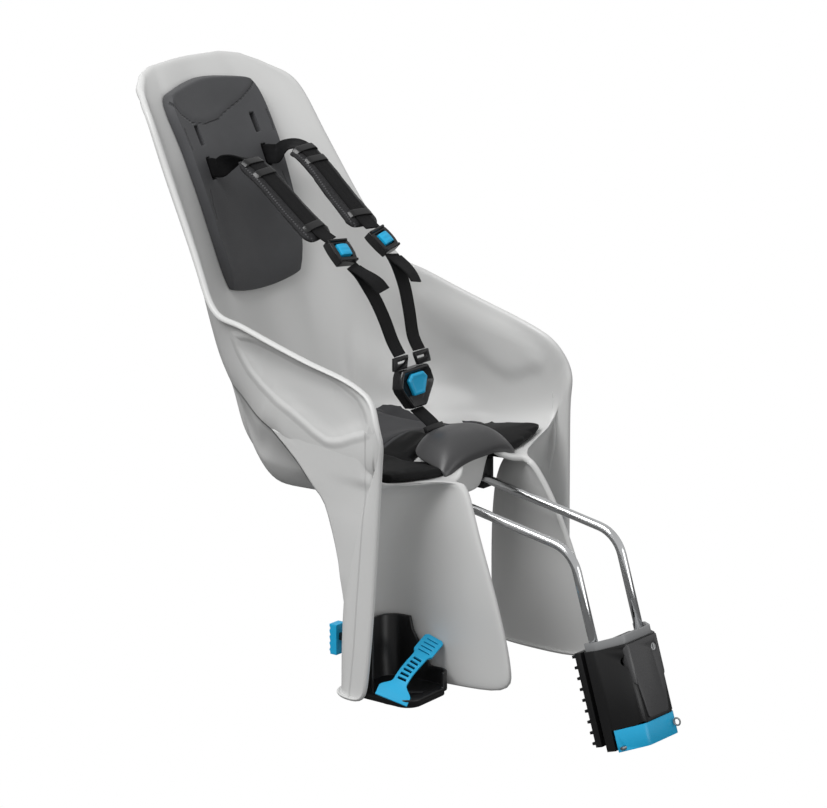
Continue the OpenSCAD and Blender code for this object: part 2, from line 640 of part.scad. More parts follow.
module bracket_housing() {
    color(black) tube_frame() difference() {
        translate([0, 0, -bracket_down])
            linear_extrude(height = bracket_down + bracket_up) bracket_plan(0);
        translate([0, 0, -bracket_down - 1])
            cylinder(h = bracket_down + bracket_up + 2, r = saddle_r + seat_gap * 0.2, $fn = 96);
        for (sx = [-1, 1])
            translate([sx * rod_half_gap, -rod_forward, -rod_depth - 6])
                cylinder(h = bracket_up + rod_depth + 10, d = rod_d + 2 * run_gap);
        for (sx = [-1, 1], s = bolt_s)
            translate([sx * bolt_x, 0, s]) rotate([90, 0, 0]) {
                translate([0, 0, -30]) cylinder(h = 60, d = bolt_d + 2 * bore_gap);
                translate([0, 0, 14]) cylinder(h = 40, d = 13);
            }
        // Seat of the grey cover on the nose
        cover_recess(cover_plate_t + 0.1);
        // Room for the lever, open at the front and below
        translate([0, 0, -bracket_down - 5])
            linear_extrude(height = lever_h[1] + bracket_down + 5.6)
                difference() {
                    translate([-60, -60]) square([120, 60 + lever_axis[0] + lever_tail + 3]);
                    bracket_plan(lever_t + 2.3);
                }
        translate([0, lever_axis[0], lever_axis[1]]) rotate([0, 90, 0])
            cylinder(h = 200, d = 4 + 2 * bore_gap, center = true);
        // Bore of the lock
        lock_at() cylinder(h = 16, d = lock_d + 2 * run_gap);
    }
}

lever_axis = [-22, -bracket_down + 2];
cover_plate_t = 3;
lock_d = 9;

module lock_at() {
    translate([17, -bracket_nose - 1, bracket_up - 14]) rotate([-90, 0, 0]) children();
}

// Front view outline of the cover: broad above, stepped in along an S on each side
module cover_outline() {
    hull() {
        for (sx = [-1, 1])
            translate([sx * 24, bracket_up - 7]) circle(r = 6);
        for (sx = [-1, 1])
            translate([sx * 22, 22]) circle(r = 6);
    }
    hull() {
        for (sx = [-1, 1])
            translate([sx * 17, 26]) circle(r = 8);
        for (sx = [-1, 1])
            translate([sx * 14, lever_h[1] + 8]) circle(r = 4);
    }
}

module cover_recess(t) {
    intersection() {
        translate([0, 0, 0]) rotate([90, 0, 0])
            translate([0, 0, 20]) linear_extrude(height = 60) cover_outline();
        difference() {
            translate([-60, -60, -bracket_down]) cube([120, 60, bracket_down + bracket_up]);
            translate([0, 0, -bracket_down - 1])
                linear_extrude(height = bracket_down + bracket_up + 2) bracket_plan(t);
        }
    }
}

module bracket_cover() {
    color(cover_grey) tube_frame() difference() {
        intersection() {
            rotate([90, 0, 0]) translate([0, 0, 20]) linear_extrude(height = 60) cover_outline();
            translate([0, 0, -bracket_down])
                linear_extrude(height = bracket_down + bracket_up) difference() {
                    bracket_plan(-1);
                    bracket_plan(cover_plate_t);
                }
        }
        lock_at() translate([0, 0, -5]) cylinder(h = 16, d = lock_d + 2 * run_gap);
    }
}

module lock_barrel() {
    color(steel) tube_frame() lock_at() difference() {
        translate([0, 0, 0.5]) cylinder(h = 15, d = lock_d);
        translate([-0.6, -3, 0]) cube([1.2, 6, 6]);
    }
}

// Pale guide on top of the bracket, round the two rod sockets
module bar_guide() {
    color([0.85, 0.86, 0.86]) tube_frame()
        translate([0, 0, bracket_up]) difference() {
            linear_extrude(height = guide_h) bracket_plan(3);
            translate([0, 0, 2]) linear_extrude(height = guide_h) bracket_plan(6);
            translate([0, 0, -1]) cylinder(h = guide_h + 2, r = saddle_r + 0.5, $fn = 96);
            for (sx = [-1, 1])
                translate([sx * rod_half_gap, -rod_forward, -1])
                    cylinder(h = guide_h + 2, d = rod_d + 2 * run_gap);
        }
}

jaw_back = 25;
module clamp_jaw() {
    fin_pitch = 12;
    color(black) tube_frame() difference() {
        union() {
            translate([-bracket_half_w, 3, -bracket_down + 6])
                cube([2 * bracket_half_w, 8, bracket_down + bracket_up - 6]);
            hull() {
                translate([-24, 8, -bracket_down + 6]) cube([48, 1, bracket_down + bracket_up - 6]);
                translate([-15, jaw_back - 1, -bracket_down + 10])
                    cube([30, 1, bracket_down + bracket_up - 14]);
            }
            for (s = [-bracket_down + 9:fin_pitch:bracket_up - 4])
                translate([-bracket_half_w, 3, s]) cube([2 * bracket_half_w, 12, 3]);
        }
        translate([0, 0, -bracket_down - 1])
            cylinder(h = bracket_down + bracket_up + 2, r = saddle_r + seat_gap * 0.2, $fn = 96);
        for (sx = [-1, 1], s = bolt_s)
            translate([sx * bolt_x, 0, s]) rotate([90, 0, 0]) {
                translate([0, 0, -40]) cylinder(h = 60, d = bolt_d + 2 * bore_gap);
                translate([0, 0, -40]) cylinder(h = 29, d = 12.6);
            }
    }
}

module liner(start, z0, z1) {
    tube_frame() translate([0, 0, z0])
        rotate([0, 0, start]) rotate_extrude(angle = 150, $fn = 96)
            translate([tube_d / 2 + bore_gap, 0]) square([liner_t, z1 - z0]);
}

module housing_liner() {
    color([0.13, 0.13, 0.13]) liner(195, -bracket_down, bracket_up);
}

module jaw_liner() {
    color([0.13, 0.13, 0.13]) liner(15, -bracket_down + 6, bracket_up);
}

module clamp_bolts() {
    color(steel) tube_frame()
        for (sx = [-1, 1], s = bolt_s)
            translate([sx * bolt_x, 0, s]) rotate([-90, 0, 0]) difference() {
                union() {
                    translate([0, 0, -15]) cylinder(h = 15 + 18, d = bolt_d);
                    translate([0, 0, -20.1]) cylinder(h = 6, d = 10);
                    translate([0, 0, 11.1]) cylinder(h = 5, d = 11.5, $fn = 6);
                }
                translate([0, 0, -20.2]) cylinder(h = 3.5, d = 5.8, $fn = 6);
            }
}

module release_lever() {
    color(blue) tube_frame() difference() {
        translate([0, 0, lever_h[0]])
            linear_extrude(height = lever_h[1] - lever_h[0])
                intersection() {
                    difference() {
                        bracket_plan(0);
                        bracket_plan(lever_t);
                    }
                    translate([-60, -60]) square([120, 60 + lever_axis[0] + lever_tail]);
                }
        translate([0, lever_axis[0], lever_axis[1]]) rotate([0, 90, 0])
            cylinder(h = 200, d = 4 + 2 * run_gap, center = true);
    }
}

module lever_pin() {
    half = bracket_half_w - 1;
    color(steel) tube_frame()
        translate([-half, lever_axis[0], lever_axis[1]]) rotate([0, 90, 0])
            cylinder(h = 2 * half, d = 4);
}

module pull_ring() {
    color([0.82, 0.83, 0.83]) tube_frame()
        translate([21, -bracket_nose - 5.3, -37]) rotate([0, 90, 0])
            rotate_extrude() translate([4, 0]) circle(d = 2, $fn = 24);
}

// Flat strip along a path, from point a to point b: at each point of the path its width direction,
// and how far the strip is lifted off the path
module strip(path, across, w, t, lift, a = 0, b = -1) {
    n = len(path) - 1;
    last = b < 0 ? n : b;
    m = last - a;
    function ahead(i) = unit(path[min(n, i + 1)] - path[max(0, i - 1)]);
    function side(i) = unit(across[i] - ahead(i) * (ahead(i) * across[i]));
    function up(i) = cross(side(i), ahead(i));
    rows = [for (i = [a:last])
        [for (c = [[-1, -1], [1, -1], [1, 1], [-1, 1]])
            path[i] + side(i) * c[0] * w / 2 + up(i) * (lift + c[1] * t / 2)]];
    faces = concat(
        [[0, 1, 2, 3]],
        [for (i = [0:m - 1]) each
            [for (k = [0:3]) each
                let (p = 4 * i + k, q = 4 * i + (k + 1) % 4)
                [[p, p + 4, q + 4], [p, q + 4, q]]]],
        [[4 * m + 3, 4 * m + 2, 4 * m + 1, 4 * m]]);
    solid_of(flat(rows), faces);
}

// Adjuster on each shoulder strap, and the ends of its frame that the webbing meets
adjuster_size = [30, 11, 30];
adjuster_tilt = 47;
adjuster_centre = [36.2, 357, 447];
function adjuster_end(sz) =
    adjuster_centre + sz * (adjuster_size.z / 2 + 3.7) * [0, sin(adjuster_tilt), cos(adjuster_tilt)];

// Right-hand shoulder strap: out of its slot edge on, over the top and down the front
slot_mid = (slot_low[0] + slot_low[1]) / 2;
function from_slot(d) = off_shell(slot_mid, slot_x / spine_half_w, d);
slot_up = unit(shell_at(slot_low[0], slot_x / spine_half_w) - shell_at(slot_low[1], slot_x / spine_half_w));
strap_route = [
    from_slot(wall + 0.2), from_slot(-8), from_slot(-pad_gap - back_pad_t - 2), [49, 519, 522.5],
    [48.6, 511, 528.5], [48, 502, 533.5], [46.8, 491, 537], [45.5, 479, 537], [45, 468, 532],
    [44.5, 456, 524.5], [44, 444, 515.5], [43, 431, 505], [42, 414, 491], [41, 397, 477.5],
    [39, 382, 466], adjuster_end(1) + [1, 0, 0]
];
strap_across = [
    slot_up, slot_up, slot_up, [0.2, 0.1, 1], [0.4, 0.2, 0.9],
    [0.7, 0.2, 0.6], [0.9, 0.1, 0.35], [0.97, 0, 0.15], [1, 0, 0], [1, 0, 0], [1, 0, 0],
    [1, 0, 0], [1, 0, 0], [1, 0, 0], [1, 0, 0], [1, 0, 0]
];
lower_route = [
    [17, 290.8, 337.5], [18, 300, 352], [22, 308, 376], [26, 316, 396], [29, 323, 409], [32, 333, 424],
    adjuster_end(-1) - [1, 0, 0]
];
function right_across(l) = [for (p = l) [1, 0, 0]];

module shoulder_strap_right() {
    color(black) strip(strap_route, strap_across, web_w, web_t, 0);
}

module shoulder_pad_right() {
    color(pad_grey)
        strip(strap_route, strap_across, shoulder_pad_w, shoulder_pad_t,
              -(web_t + shoulder_pad_t) / 2 - seat_gap, 6, 14);
}

module adjuster_frame() {
    translate(adjuster_centre) rotate([-adjuster_tilt, 0, 0]) rotate([0, -9, 0]) children();
}

module adjuster_right() {
    color(black) adjuster_frame() difference() {
        hull()
            for (sx = [-1, 1], sz = [-1, 1])
                translate([sx * (adjuster_size.x / 2 - 3), 0, sz * (adjuster_size.z / 2 - 3)])
                    rotate([90, 0, 0]) cylinder(h = adjuster_size.y, r = 3, center = true, $fn = 24);
        translate([-8.5, -adjuster_size.y, -8]) cube([17, adjuster_size.y + 3, 15]);
    }
}

module adjuster_button_right() {
    color(blue) adjuster_frame()
        translate([-8, -adjuster_size.y / 2 - 2.5, -7.5]) cube([16, 9, 14]);
}

module lower_strap_right() {
    color(black) strip(lower_route, right_across(lower_route), web_w - 2, web_t, 0);
}

module left_of(part) {
    mirror([1, 0, 0]) children();
}

// Buckle, facing forward and a little up
buckle_centre = [0, 285, 303];
buckle_tilt = 8;
buckle_t = 15;
module buckle_frame() {
    translate(buckle_centre) rotate([-buckle_tilt, 0, 0]) rotate([90, 0, 0]) children();
}

module buckle_outline(r) {
    hull() {
        for (sx = [-1, 1])
            translate([sx * 22, 14]) circle(r = r, $fn = 24);
        for (sx = [-1, 1])
            translate([sx * 25, -1]) circle(r = r, $fn = 24);
        for (sx = [-1, 1])
            translate([sx * 9, -22]) circle(r = r, $fn = 24);
    }
}

module button_outline(grow) {
    polygon([for (p = [[-17, 6], [-10, 13], [10, 13], [17, 6], [9, -12], [-9, -12]])
        p + grow * unit(p)]);
}

module buckle_body() {
    color(black) buckle_frame() difference() {
        linear_extrude(height = buckle_t, center = true) buckle_outline(5);
        translate([0, 0, -1]) linear_extrude(height = buckle_t) button_outline(0.6);
    }
}

module buckle_button() {
    color(blue) buckle_frame()
        translate([0, 0, 2.6]) linear_extrude(height = buckle_t / 2) button_outline(0);
}

module tongue_right() {
    color(black) buckle_frame() difference() {
        hull() {
            translate([10, 19.4, -2]) cube([22, 3, 4]);
            translate([6, 31, -2]) cube([24, 3, 4]);
        }
        translate([9, 26, -3]) cube([16, 3, 6]);
    }
}

module crotch_strap() {
    root = crotch_root();
    route = [[0, root.y, root.z - 10.6], [0, root.y, root.z], [0, root.y + 1, root.z + 12],
             [0, root.y + 5, root.z + 20], buckle_centre - 27.8 * [0, sin(buckle_tilt), cos(buckle_tilt)]];
    color(black) strip(route, right_across(route), web_w, web_t, 0);
}

module crotch_slide() {
    color(black) translate(crotch_root() + [0, 3, 16]) rotate([-atan(4 / 8), 0, 0]) difference() {
        cube([30, 4.6, 7], center = true);
        cube([web_w + 1, 2.6, 10], center = true);
    }
}

module crotch_anchor() {
    root = crotch_root();
    color(black) translate([-20, root.y - 9, root.z - 15]) cube([40, 18, 4]);
}

// Flat bar behind the back that both shoulder straps are sewn round
module strap_anchor() {
    us = [slot_low[0], (slot_low[0] + slot_low[1]) / 2, slot_low[1]];
    hs = half_edge(concat(pad_columns, [1.1]));
    color(black)
        slab([for (u = us) [for (h = hs) off_shell(u, h, wall + pad_gap)]],
             [for (u = us) [for (h = hs) off_shell(u, h, wall + pad_gap + 6)]]);
}

// Footrests: a sole with a heel wall and a low inner side, held through the slot of the guard
rest_w = 74;
rest_front_y = pan_front_y - 22;
rest_rear_y = pan_front_y + 62;
heel_h = 74;
side_h = 22;
rest_t = 4;
stem_z = 50;
stem_t = 8;
stem_w = 5.6;
rail_x = (shell_at(rail_slot[1], rail_v[0]).x + shell_at(rail_slot[1], rail_v[1]).x) / 2;
rail_y = shell_at(rail_slot[1], rail_v[0]).y;

module sole_outline(inset) {
    hull() {
        translate([foot_half_gap - rest_w / 2 + 12, rest_front_y + 14]) circle(r = 12 - inset, $fn = 32);
        translate([foot_half_gap + rest_w / 2 - 20, rest_front_y + 20]) circle(r = 20 - inset, $fn = 32);
        translate([foot_half_gap - rest_w / 2 + 26, rest_rear_y - 22]) circle(r = 22 - inset, $fn = 32);
        translate([foot_half_gap + rest_w / 2 - 18, rest_rear_y - 18]) circle(r = 18 - inset, $fn = 32);
    }
}

module footrest_right() {
    color(black) translate([0, 0, sole_z]) difference() {
        union() {
            linear_extrude(height = heel_h) sole_outline(0);
            translate([0, 0, -6]) linear_extrude(height = 6) sole_outline(3);
            translate([rail_x - stem_w / 2, rest_rear_y - 8, stem_z])
                cube([stem_w, rail_y - rest_rear_y + 22, stem_t]);
        }
        translate([0, 0, rest_t]) linear_extrude(height = heel_h) sole_outline(rest_t);
        translate([0, 0, -sole_z])
            strip(foot_strap_route, foot_strap_across(), strap_w + 2, 4.4, 0);
        // The wall is high round the heel and low along the inside of the foot
        translate([0, rest_front_y - 1, side_h]) rotate([90, 0, 90])
            linear_extrude(height = 300)
                polygon([[-5, -1], [30, 0], [52, heel_h - side_h - 14], [60, heel_h], [-5, heel_h]]);
        translate([foot_half_gap - rest_w / 2 + 14, rest_front_y - 5, rest_t])
            cube([90, rest_rear_y - rest_front_y - 26, heel_h]);
    }
}

strap_w = 20;
foot_strap_route = [
    [93, 190, 44], [95.5, 188.6, 41], [101.5, 186.3, 34], [112, 184, 23], [124, 183, 12], [136, 184, 3],
    [148, 187, -6], [158, 191, -16], [164, 194, -24]
];
function foot_strap_across() = [for (p = foot_strap_route) [0.55, 0.83, 0.1]];

module foot_strap_right() {
    color(blue)
        strip(foot_strap_route, foot_strap_across(), strap_w, 3, 0);
}

module footrest_latch_right() {
    color(blue) difference() {
        translate([rail_x - 9, rail_y + 10.6, sole_z + stem_z - 10]) cube([20, 14, 40]);
        translate([rail_x - stem_w / 2 - 0.4, rail_y, sole_z + stem_z - 0.4])
            cube([stem_w + 0.8, 18, stem_t + 0.8]);
    }
}

module reflector_holder() {
    p = off_shell(4.6, 0, wall);
    color(black) translate([0, p.y + 4, p.z]) rotate([-back_lean, 0, 0])
        cube([86, 7, 40], center = true);
}

module reflector() {
    p = off_shell(4.6, 0, wall);
    color([0.75, 0.05, 0.05]) translate([0, p.y + 4, p.z]) rotate([-back_lean, 0, 0])
        translate([0, 6.3, 0]) cube([80, 5, 34], center = true);
}

seat_shell();
back_pad();
seat_pad();
nose_cover();
carry_bar();
bar_clamp_front();
bar_clamp_rear();
clamp_screws();
bracket_housing();
bracket_cover();
bar_guide();
clamp_jaw();
housing_liner();
jaw_liner();
clamp_bolts();
lock_barrel();
release_lever();
lever_pin();
pull_ring();
shoulder_strap_right();
left_of() shoulder_strap_right();  // shoulder_strap_left
shoulder_pad_right();
left_of() shoulder_pad_right();  // shoulder_pad_left
adjuster_right();
left_of() adjuster_right();  // adjuster_left
adjuster_button_right();
left_of() adjuster_button_right();  // adjuster_button_left
lower_strap_right();
left_of() lower_strap_right();  // lower_strap_left
tongue_right();
left_of() tongue_right();  // tongue_left
buckle_body();
buckle_button();
crotch_strap();
crotch_slide();
crotch_anchor();
strap_anchor();
footrest_right();
left_of() footrest_right();  // footrest_left
foot_strap_right();
left_of() foot_strap_right();  // foot_strap_left
footrest_latch_right();
left_of() footrest_latch_right();  // footrest_latch_left
reflector_holder();
reflector();
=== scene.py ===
"""Looks of a rear child bike seat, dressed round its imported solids.

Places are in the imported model's frame: +Z up, the front faces -Y. Tables of places and the sizes that
mm() turns are in millimetres, and the other lengths are in metres.
"""

from __future__ import annotations

import json
import logging
import math
from dataclasses import dataclass
from enum import Enum
from typing import Callable, Sequence

import bmesh
import bpy
from mathutils import Matrix, Vector
from mathutils.bvhtree import BVHTree

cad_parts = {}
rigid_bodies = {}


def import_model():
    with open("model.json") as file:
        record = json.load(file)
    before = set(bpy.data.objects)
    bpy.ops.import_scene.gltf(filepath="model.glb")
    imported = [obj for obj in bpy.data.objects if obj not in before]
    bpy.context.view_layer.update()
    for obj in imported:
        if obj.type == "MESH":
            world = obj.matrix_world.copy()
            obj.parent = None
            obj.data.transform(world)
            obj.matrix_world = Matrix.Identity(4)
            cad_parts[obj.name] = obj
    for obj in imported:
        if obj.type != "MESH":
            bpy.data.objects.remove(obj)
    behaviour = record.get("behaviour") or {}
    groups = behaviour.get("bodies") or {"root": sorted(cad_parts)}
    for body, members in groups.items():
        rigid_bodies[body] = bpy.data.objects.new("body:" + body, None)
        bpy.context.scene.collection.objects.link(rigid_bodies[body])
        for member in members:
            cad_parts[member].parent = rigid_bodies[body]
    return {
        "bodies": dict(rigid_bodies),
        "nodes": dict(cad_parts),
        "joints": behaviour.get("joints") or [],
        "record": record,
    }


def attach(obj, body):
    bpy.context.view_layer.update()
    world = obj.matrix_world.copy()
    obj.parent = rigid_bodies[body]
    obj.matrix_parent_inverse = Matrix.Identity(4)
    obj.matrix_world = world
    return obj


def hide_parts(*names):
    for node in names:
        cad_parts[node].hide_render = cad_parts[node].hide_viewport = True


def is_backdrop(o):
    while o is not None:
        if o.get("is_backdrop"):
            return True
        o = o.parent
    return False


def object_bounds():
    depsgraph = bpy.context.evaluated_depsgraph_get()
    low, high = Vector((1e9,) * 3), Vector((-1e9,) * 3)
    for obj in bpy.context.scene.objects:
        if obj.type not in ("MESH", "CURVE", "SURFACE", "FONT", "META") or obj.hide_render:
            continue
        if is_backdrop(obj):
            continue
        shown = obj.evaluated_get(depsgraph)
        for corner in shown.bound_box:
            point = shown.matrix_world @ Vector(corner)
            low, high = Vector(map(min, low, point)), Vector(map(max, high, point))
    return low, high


LOG = logging.getLogger("child_seat")
MM = 0.001
WEAVE_MAP = "run"


def mm(*values: float) -> Vector:
    """A point given in millimetres."""
    return Vector(values) * MM


class Side(Enum):
    """Which of the two mirrored pieces."""

    LEFT = "left"
    RIGHT = "right"

    @property
    def sign(self) -> int:
        """+1 on the +X side and -1 on the other."""
        return 1 if self is Side.RIGHT else -1


# Shader building


class Value:
    """A socket that takes part in Python arithmetic, each step as a Math node."""

    def __init__(self, tree: "ShaderTree", socket: bpy.types.NodeSocket) -> None:
        """Wrap one output socket of a tree."""
        self.tree = tree
        self.socket = socket

    def _math(self, operation: str, *others: "Value | float", first: bool = True) -> "Value":
        """Add a Math node.

        Args:
            operation: the node's operation.
            others: the other operands.
            first: whether this value is the first operand.

        Returns:
            The result.
        """
        operands = [self, *others] if first else [*others, self]
        made = self.tree.node("ShaderNodeMath", {"operation": operation}, dict(enumerate(operands)))
        return Value(self.tree, made.outputs[0])

    def __add__(self, other: "Value | float") -> "Value":
        """Sum."""
        return self._math("ADD", other)

    def __radd__(self, other: float) -> "Value":
        """Sum, reflected."""
        return self._math("ADD", other)

    def __sub__(self, other: "Value | float") -> "Value":
        """Difference."""
        return self._math("SUBTRACT", other)

    def __rsub__(self, other: float) -> "Value":
        """Difference, reflected."""
        return self._math("SUBTRACT", other, first=False)

    def __mul__(self, other: "Value | float") -> "Value":
        """Product."""
        return self._math("MULTIPLY", other)

    def __rmul__(self, other: float) -> "Value":
        """Product, reflected."""
        return self._math("MULTIPLY", other)

    def __abs__(self) -> "Value":
        """Size without sign."""
        return self._math("ABSOLUTE")

    def sine(self) -> "Value":
        """Sine of the value in radians."""
        return self._math("SINE")

    def ramp(self, low: float, high: float, start: float = 0.0, end: float = 1.0) -> "Value":
        """Smooth step from start to end as the value goes from low to high.

        Args:
            low: the value at which the step begins.
            high: the value at which it ends.
            start: the result up to low.
            end: the result from high on.

        Returns:
            The stepped value.
        """
        settings = {"interpolation_type": "SMOOTHSTEP"}
        inputs = {"Value": self, "From Min": low, "From Max": high, "To Min": start, "To Max": end}
        return Value(self.tree, self.tree.node("ShaderNodeMapRange", settings, inputs).outputs[0])


class ShaderTree:
    """Node tree of one material, ending in a Principled shader."""

    def __init__(self, name: str) -> None:
        """Start an empty material.

        Args:
            name: the material's name.
        """
        self.material = bpy.data.materials.new(name)
        self.material.use_nodes = True
        self.nodes = self.material.node_tree.nodes
        self.links = self.material.node_tree.links
        self.nodes.clear()

    def node(self, kind: str, settings: dict | None = None, inputs: dict | None = None) -> bpy.types.Node:
        """Add a node.

        Args:
            kind: the node's type name.
            settings: its properties, set first.
            inputs: socket name or number to a number, colour, Value or socket.

        Returns:
            The node.
        """
        made = self.nodes.new(kind)
        for key, value in (settings or {}).items():
            setattr(made, key, value)
        for key, value in (inputs or {}).items():
            socket = made.inputs[key]
            source = value.socket if isinstance(value, Value) else value
            if isinstance(source, bpy.types.NodeSocket):
                self.links.new(source, socket)
            else:
                socket.default_value = source
        return made

    def places(self) -> bpy.types.NodeSocket:
        """Object coordinates."""
        return self.node("ShaderNodeTexCoord").outputs["Object"]

    def attribute(self, name: str) -> Value:
        """A piece's own number at each point."""
        made = self.node("ShaderNodeAttribute", {"attribute_name": name})
        return Value(self, made.outputs["Fac"])

    def axes(self, vector: bpy.types.NodeSocket) -> tuple[Value, Value, Value]:
        """The three numbers of a vector."""
        made = self.node("ShaderNodeSeparateXYZ", None, {0: vector})
        return tuple(Value(self, made.outputs[k]) for k in range(3))

    def weave_axes(self) -> tuple[Value, Value]:
        """Read a strap's own map.

        Returns:
            The places across and along the strap in metres.
        """
        made = self.node("ShaderNodeUVMap", {"uv_map": WEAVE_MAP})
        across, along, _ = self.axes(made.outputs[0])
        return across, along

    def noise(self, scale: float, detail: float = 2.0, rough: float = 0.5) -> Value:
        """Noise between 0 and 1 in object space."""
        inputs = {"Vector": self.places(), "Scale": scale, "Detail": detail, "Roughness": rough}
        return Value(self, self.node("ShaderNodeTexNoise", None, inputs).outputs["Fac"])

    def cells(self, scale: float) -> Value:
        """Distance to the nearest point of a scatter in object space."""
        inputs = {"Vector": self.places(), "Scale": scale}
        return Value(self, self.node("ShaderNodeTexVoronoi", None, inputs).outputs["Distance"])

    def mix(self, factor: Value, low: Sequence[float], high: Sequence[float]) -> bpy.types.NodeSocket:
        """Blend of two colours, or of a colour socket and a colour.

        Args:
            factor: 0 for the first and 1 for the second.
            low: the first colour or socket.
            high: the second colour or socket.

        Returns:
            The socket of the blended colour.
        """
        made = self.node("ShaderNodeMix", {"data_type": "RGBA"})
        for key, value in ((0, factor.socket), (6, low), (7, high)):
            if isinstance(value, bpy.types.NodeSocket):
                self.links.new(value, made.inputs[key])
            else:
                made.inputs[key].default_value = value
        return made.outputs[2]

    def bump(self, height: Value, depth: float, strength: float = 1.0,
             over: bpy.types.NodeSocket | None = None) -> bpy.types.NodeSocket:
        """Normal of a height map.

        Args:
            height: the map, 0 to 1.
            depth: what its full range means in metres.
            strength: share of the effect.
            over: a normal that this one is laid over.

        Returns:
            The socket of the normal.
        """
        inputs = {"Height": height, "Distance": depth, "Strength": strength}
        if over is not None:
            inputs["Normal"] = over
        return self.node("ShaderNodeBump", None, inputs).outputs[0]

    def close(self, sockets: dict) -> bpy.types.Material:
        """Finish with a Principled shader.

        Args:
            sockets: its socket names, with numbers, colours, values or sockets.

        Returns:
            The material.
        """
        shader = self.node("ShaderNodeBsdfPrincipled", None, sockets)
        self.node("ShaderNodeOutputMaterial", None, {0: shader.outputs[0]})
        return self.material


def shade(colour: Sequence[float], factor: float) -> tuple[float, float, float, float]:
    """A colour made lighter or darker, with full alpha."""
    return tuple(min(1.0, c * factor) for c in colour[:3]) + (1.0,)


@dataclass(frozen=True)
class MouldedPlastic:
    """Plastic with a fine spark-eroded grain."""

    name: str
    colour: tuple[float, float, float]
    roughness: float = 0.42
    grain: float = 1400.0
    depth: float = 0.00006
    specular: float = 0.45
    coat: float = 0.0

    def make(self) -> bpy.types.Material:
        """Build the material.

        Returns:
            The material.
        """
        tree = ShaderTree(self.name)
        cloud = tree.noise(9.0, 3.0)
        scuffs = tree.noise(240.0, 4.0, 0.7)
        colour = tree.mix(cloud.ramp(0.3, 0.7), shade(self.colour, 0.955), shade(self.colour, 1.04))
        rough = self.roughness + (scuffs - 0.5) * 0.12 + (cloud - 0.5) * 0.08
        normal = tree.bump(tree.noise(self.grain, 2.0, 0.6), self.depth, 0.55)
        return tree.close({"Base Color": colour, "Roughness": rough, "Normal": normal,
                           "Specular IOR Level": self.specular, "Coat Weight": self.coat,
                           "Coat Roughness": 0.25})


@dataclass(frozen=True)
class ShellPlastic:
    """Light grey moulding with its raised lip, the ridge round each arm's hollow and the skirt line, with
    painted shade just below that line.
    """

    name: str = "shell_plastic"
    colour: tuple[float, float, float] = (0.640, 0.642, 0.636)
    lip_width: float = 21.0
    lip_blur: float = 1.8
    ridge_at: float = -2.5
    ridge_height: float = 0.7
    skirt_blur: float = 1.6
    skirt_height: float = 1.3
    step: float = 0.0016

    def make(self) -> bpy.types.Material:
        """Build the material from the shell's own distances, which are in mm.

        Returns:
            The material.
        """
        tree = ShaderTree(self.name)
        cloud = tree.noise(5.0, 3.0)
        lip_edge = (self.lip_width - self.lip_blur, self.lip_width + self.lip_blur)
        lip = tree.attribute("lip").ramp(*lip_edge, 1.0, 0.0)
        leaf = tree.attribute("leaf")
        crest = leaf.ramp(-10.0, self.ridge_at) * leaf.ramp(self.ridge_at, 4.0, 1.0, 0.0)
        skirt = tree.attribute("skirt")
        tuck = skirt.ramp(-self.skirt_blur, self.skirt_blur, 0.0, 1.0)
        # Painted shade: a dark band painted just below the skirt's lower edge, where the pan steps in.
        shadow = abs(skirt + 2.0).ramp(0.0, 5.0, 1.0, 0.0)
        height = lip + crest * self.ridge_height + tuck * self.skirt_height
        under = tree.mix(cloud.ramp(0.3, 0.7), shade(self.colour, 0.975), shade(self.colour, 1.02))
        colour = tree.mix(shadow * 0.45, under, shade(self.colour, 0.45))
        rough = 0.36 + (tree.noise(160.0, 4.0, 0.7) - 0.5) * 0.10
        form = tree.bump(height, self.step, 1.0)
        normal = tree.bump(tree.noise(1500.0, 2.0, 0.6), 0.00005, 0.5, form)
        return tree.close({"Base Color": colour, "Roughness": rough, "Normal": normal,
                           "Specular IOR Level": 0.45})


@dataclass(frozen=True)
class FoamSkin:
    """Closed foam with a soft matt face and pressed grooves, with painted shade in the grooves."""

    name: str
    colour: tuple[float, float, float]
    groove: float = 1.7
    roughness: float = 0.62
    specular: float = 0.4
    sheen: float = 0.12

    def make(self) -> bpy.types.Material:
        """Build the material.

        The attribute groove is the distance to a pressed line in mm, and front is how far a point lies
        on the darker side of a pad.

        Returns:
            The material.
        """
        tree = ShaderTree(self.name)
        cloud = tree.noise(14.0, 3.0, 0.6)
        pebble = tree.cells(900.0)
        line = tree.attribute("groove").ramp(0.25, self.groove, 1.0, 0.0)
        base = tree.mix(cloud.ramp(0.3, 0.72), shade(self.colour, 0.90), shade(self.colour, 1.12))
        front = tree.attribute("front").ramp(0.2, 2.5)
        body = tree.mix(front, base, shade(self.colour, 0.10))
        # Painted shade: the pressed grooves are painted darker.
        colour = tree.mix(line * 0.55, body, shade(self.colour, 0.42))
        rough = self.roughness + (cloud - 0.5) * 0.16 + line * 0.1
        press = tree.bump(1.0 - line, 0.0011, 1.0)
        normal = tree.bump(pebble, 0.00014, 0.7, press)
        return tree.close({"Base Color": colour, "Roughness": rough, "Normal": normal,
                           "Specular IOR Level": self.specular, "Sheen Weight": self.sheen,
                           "Sheen Roughness": 0.5})


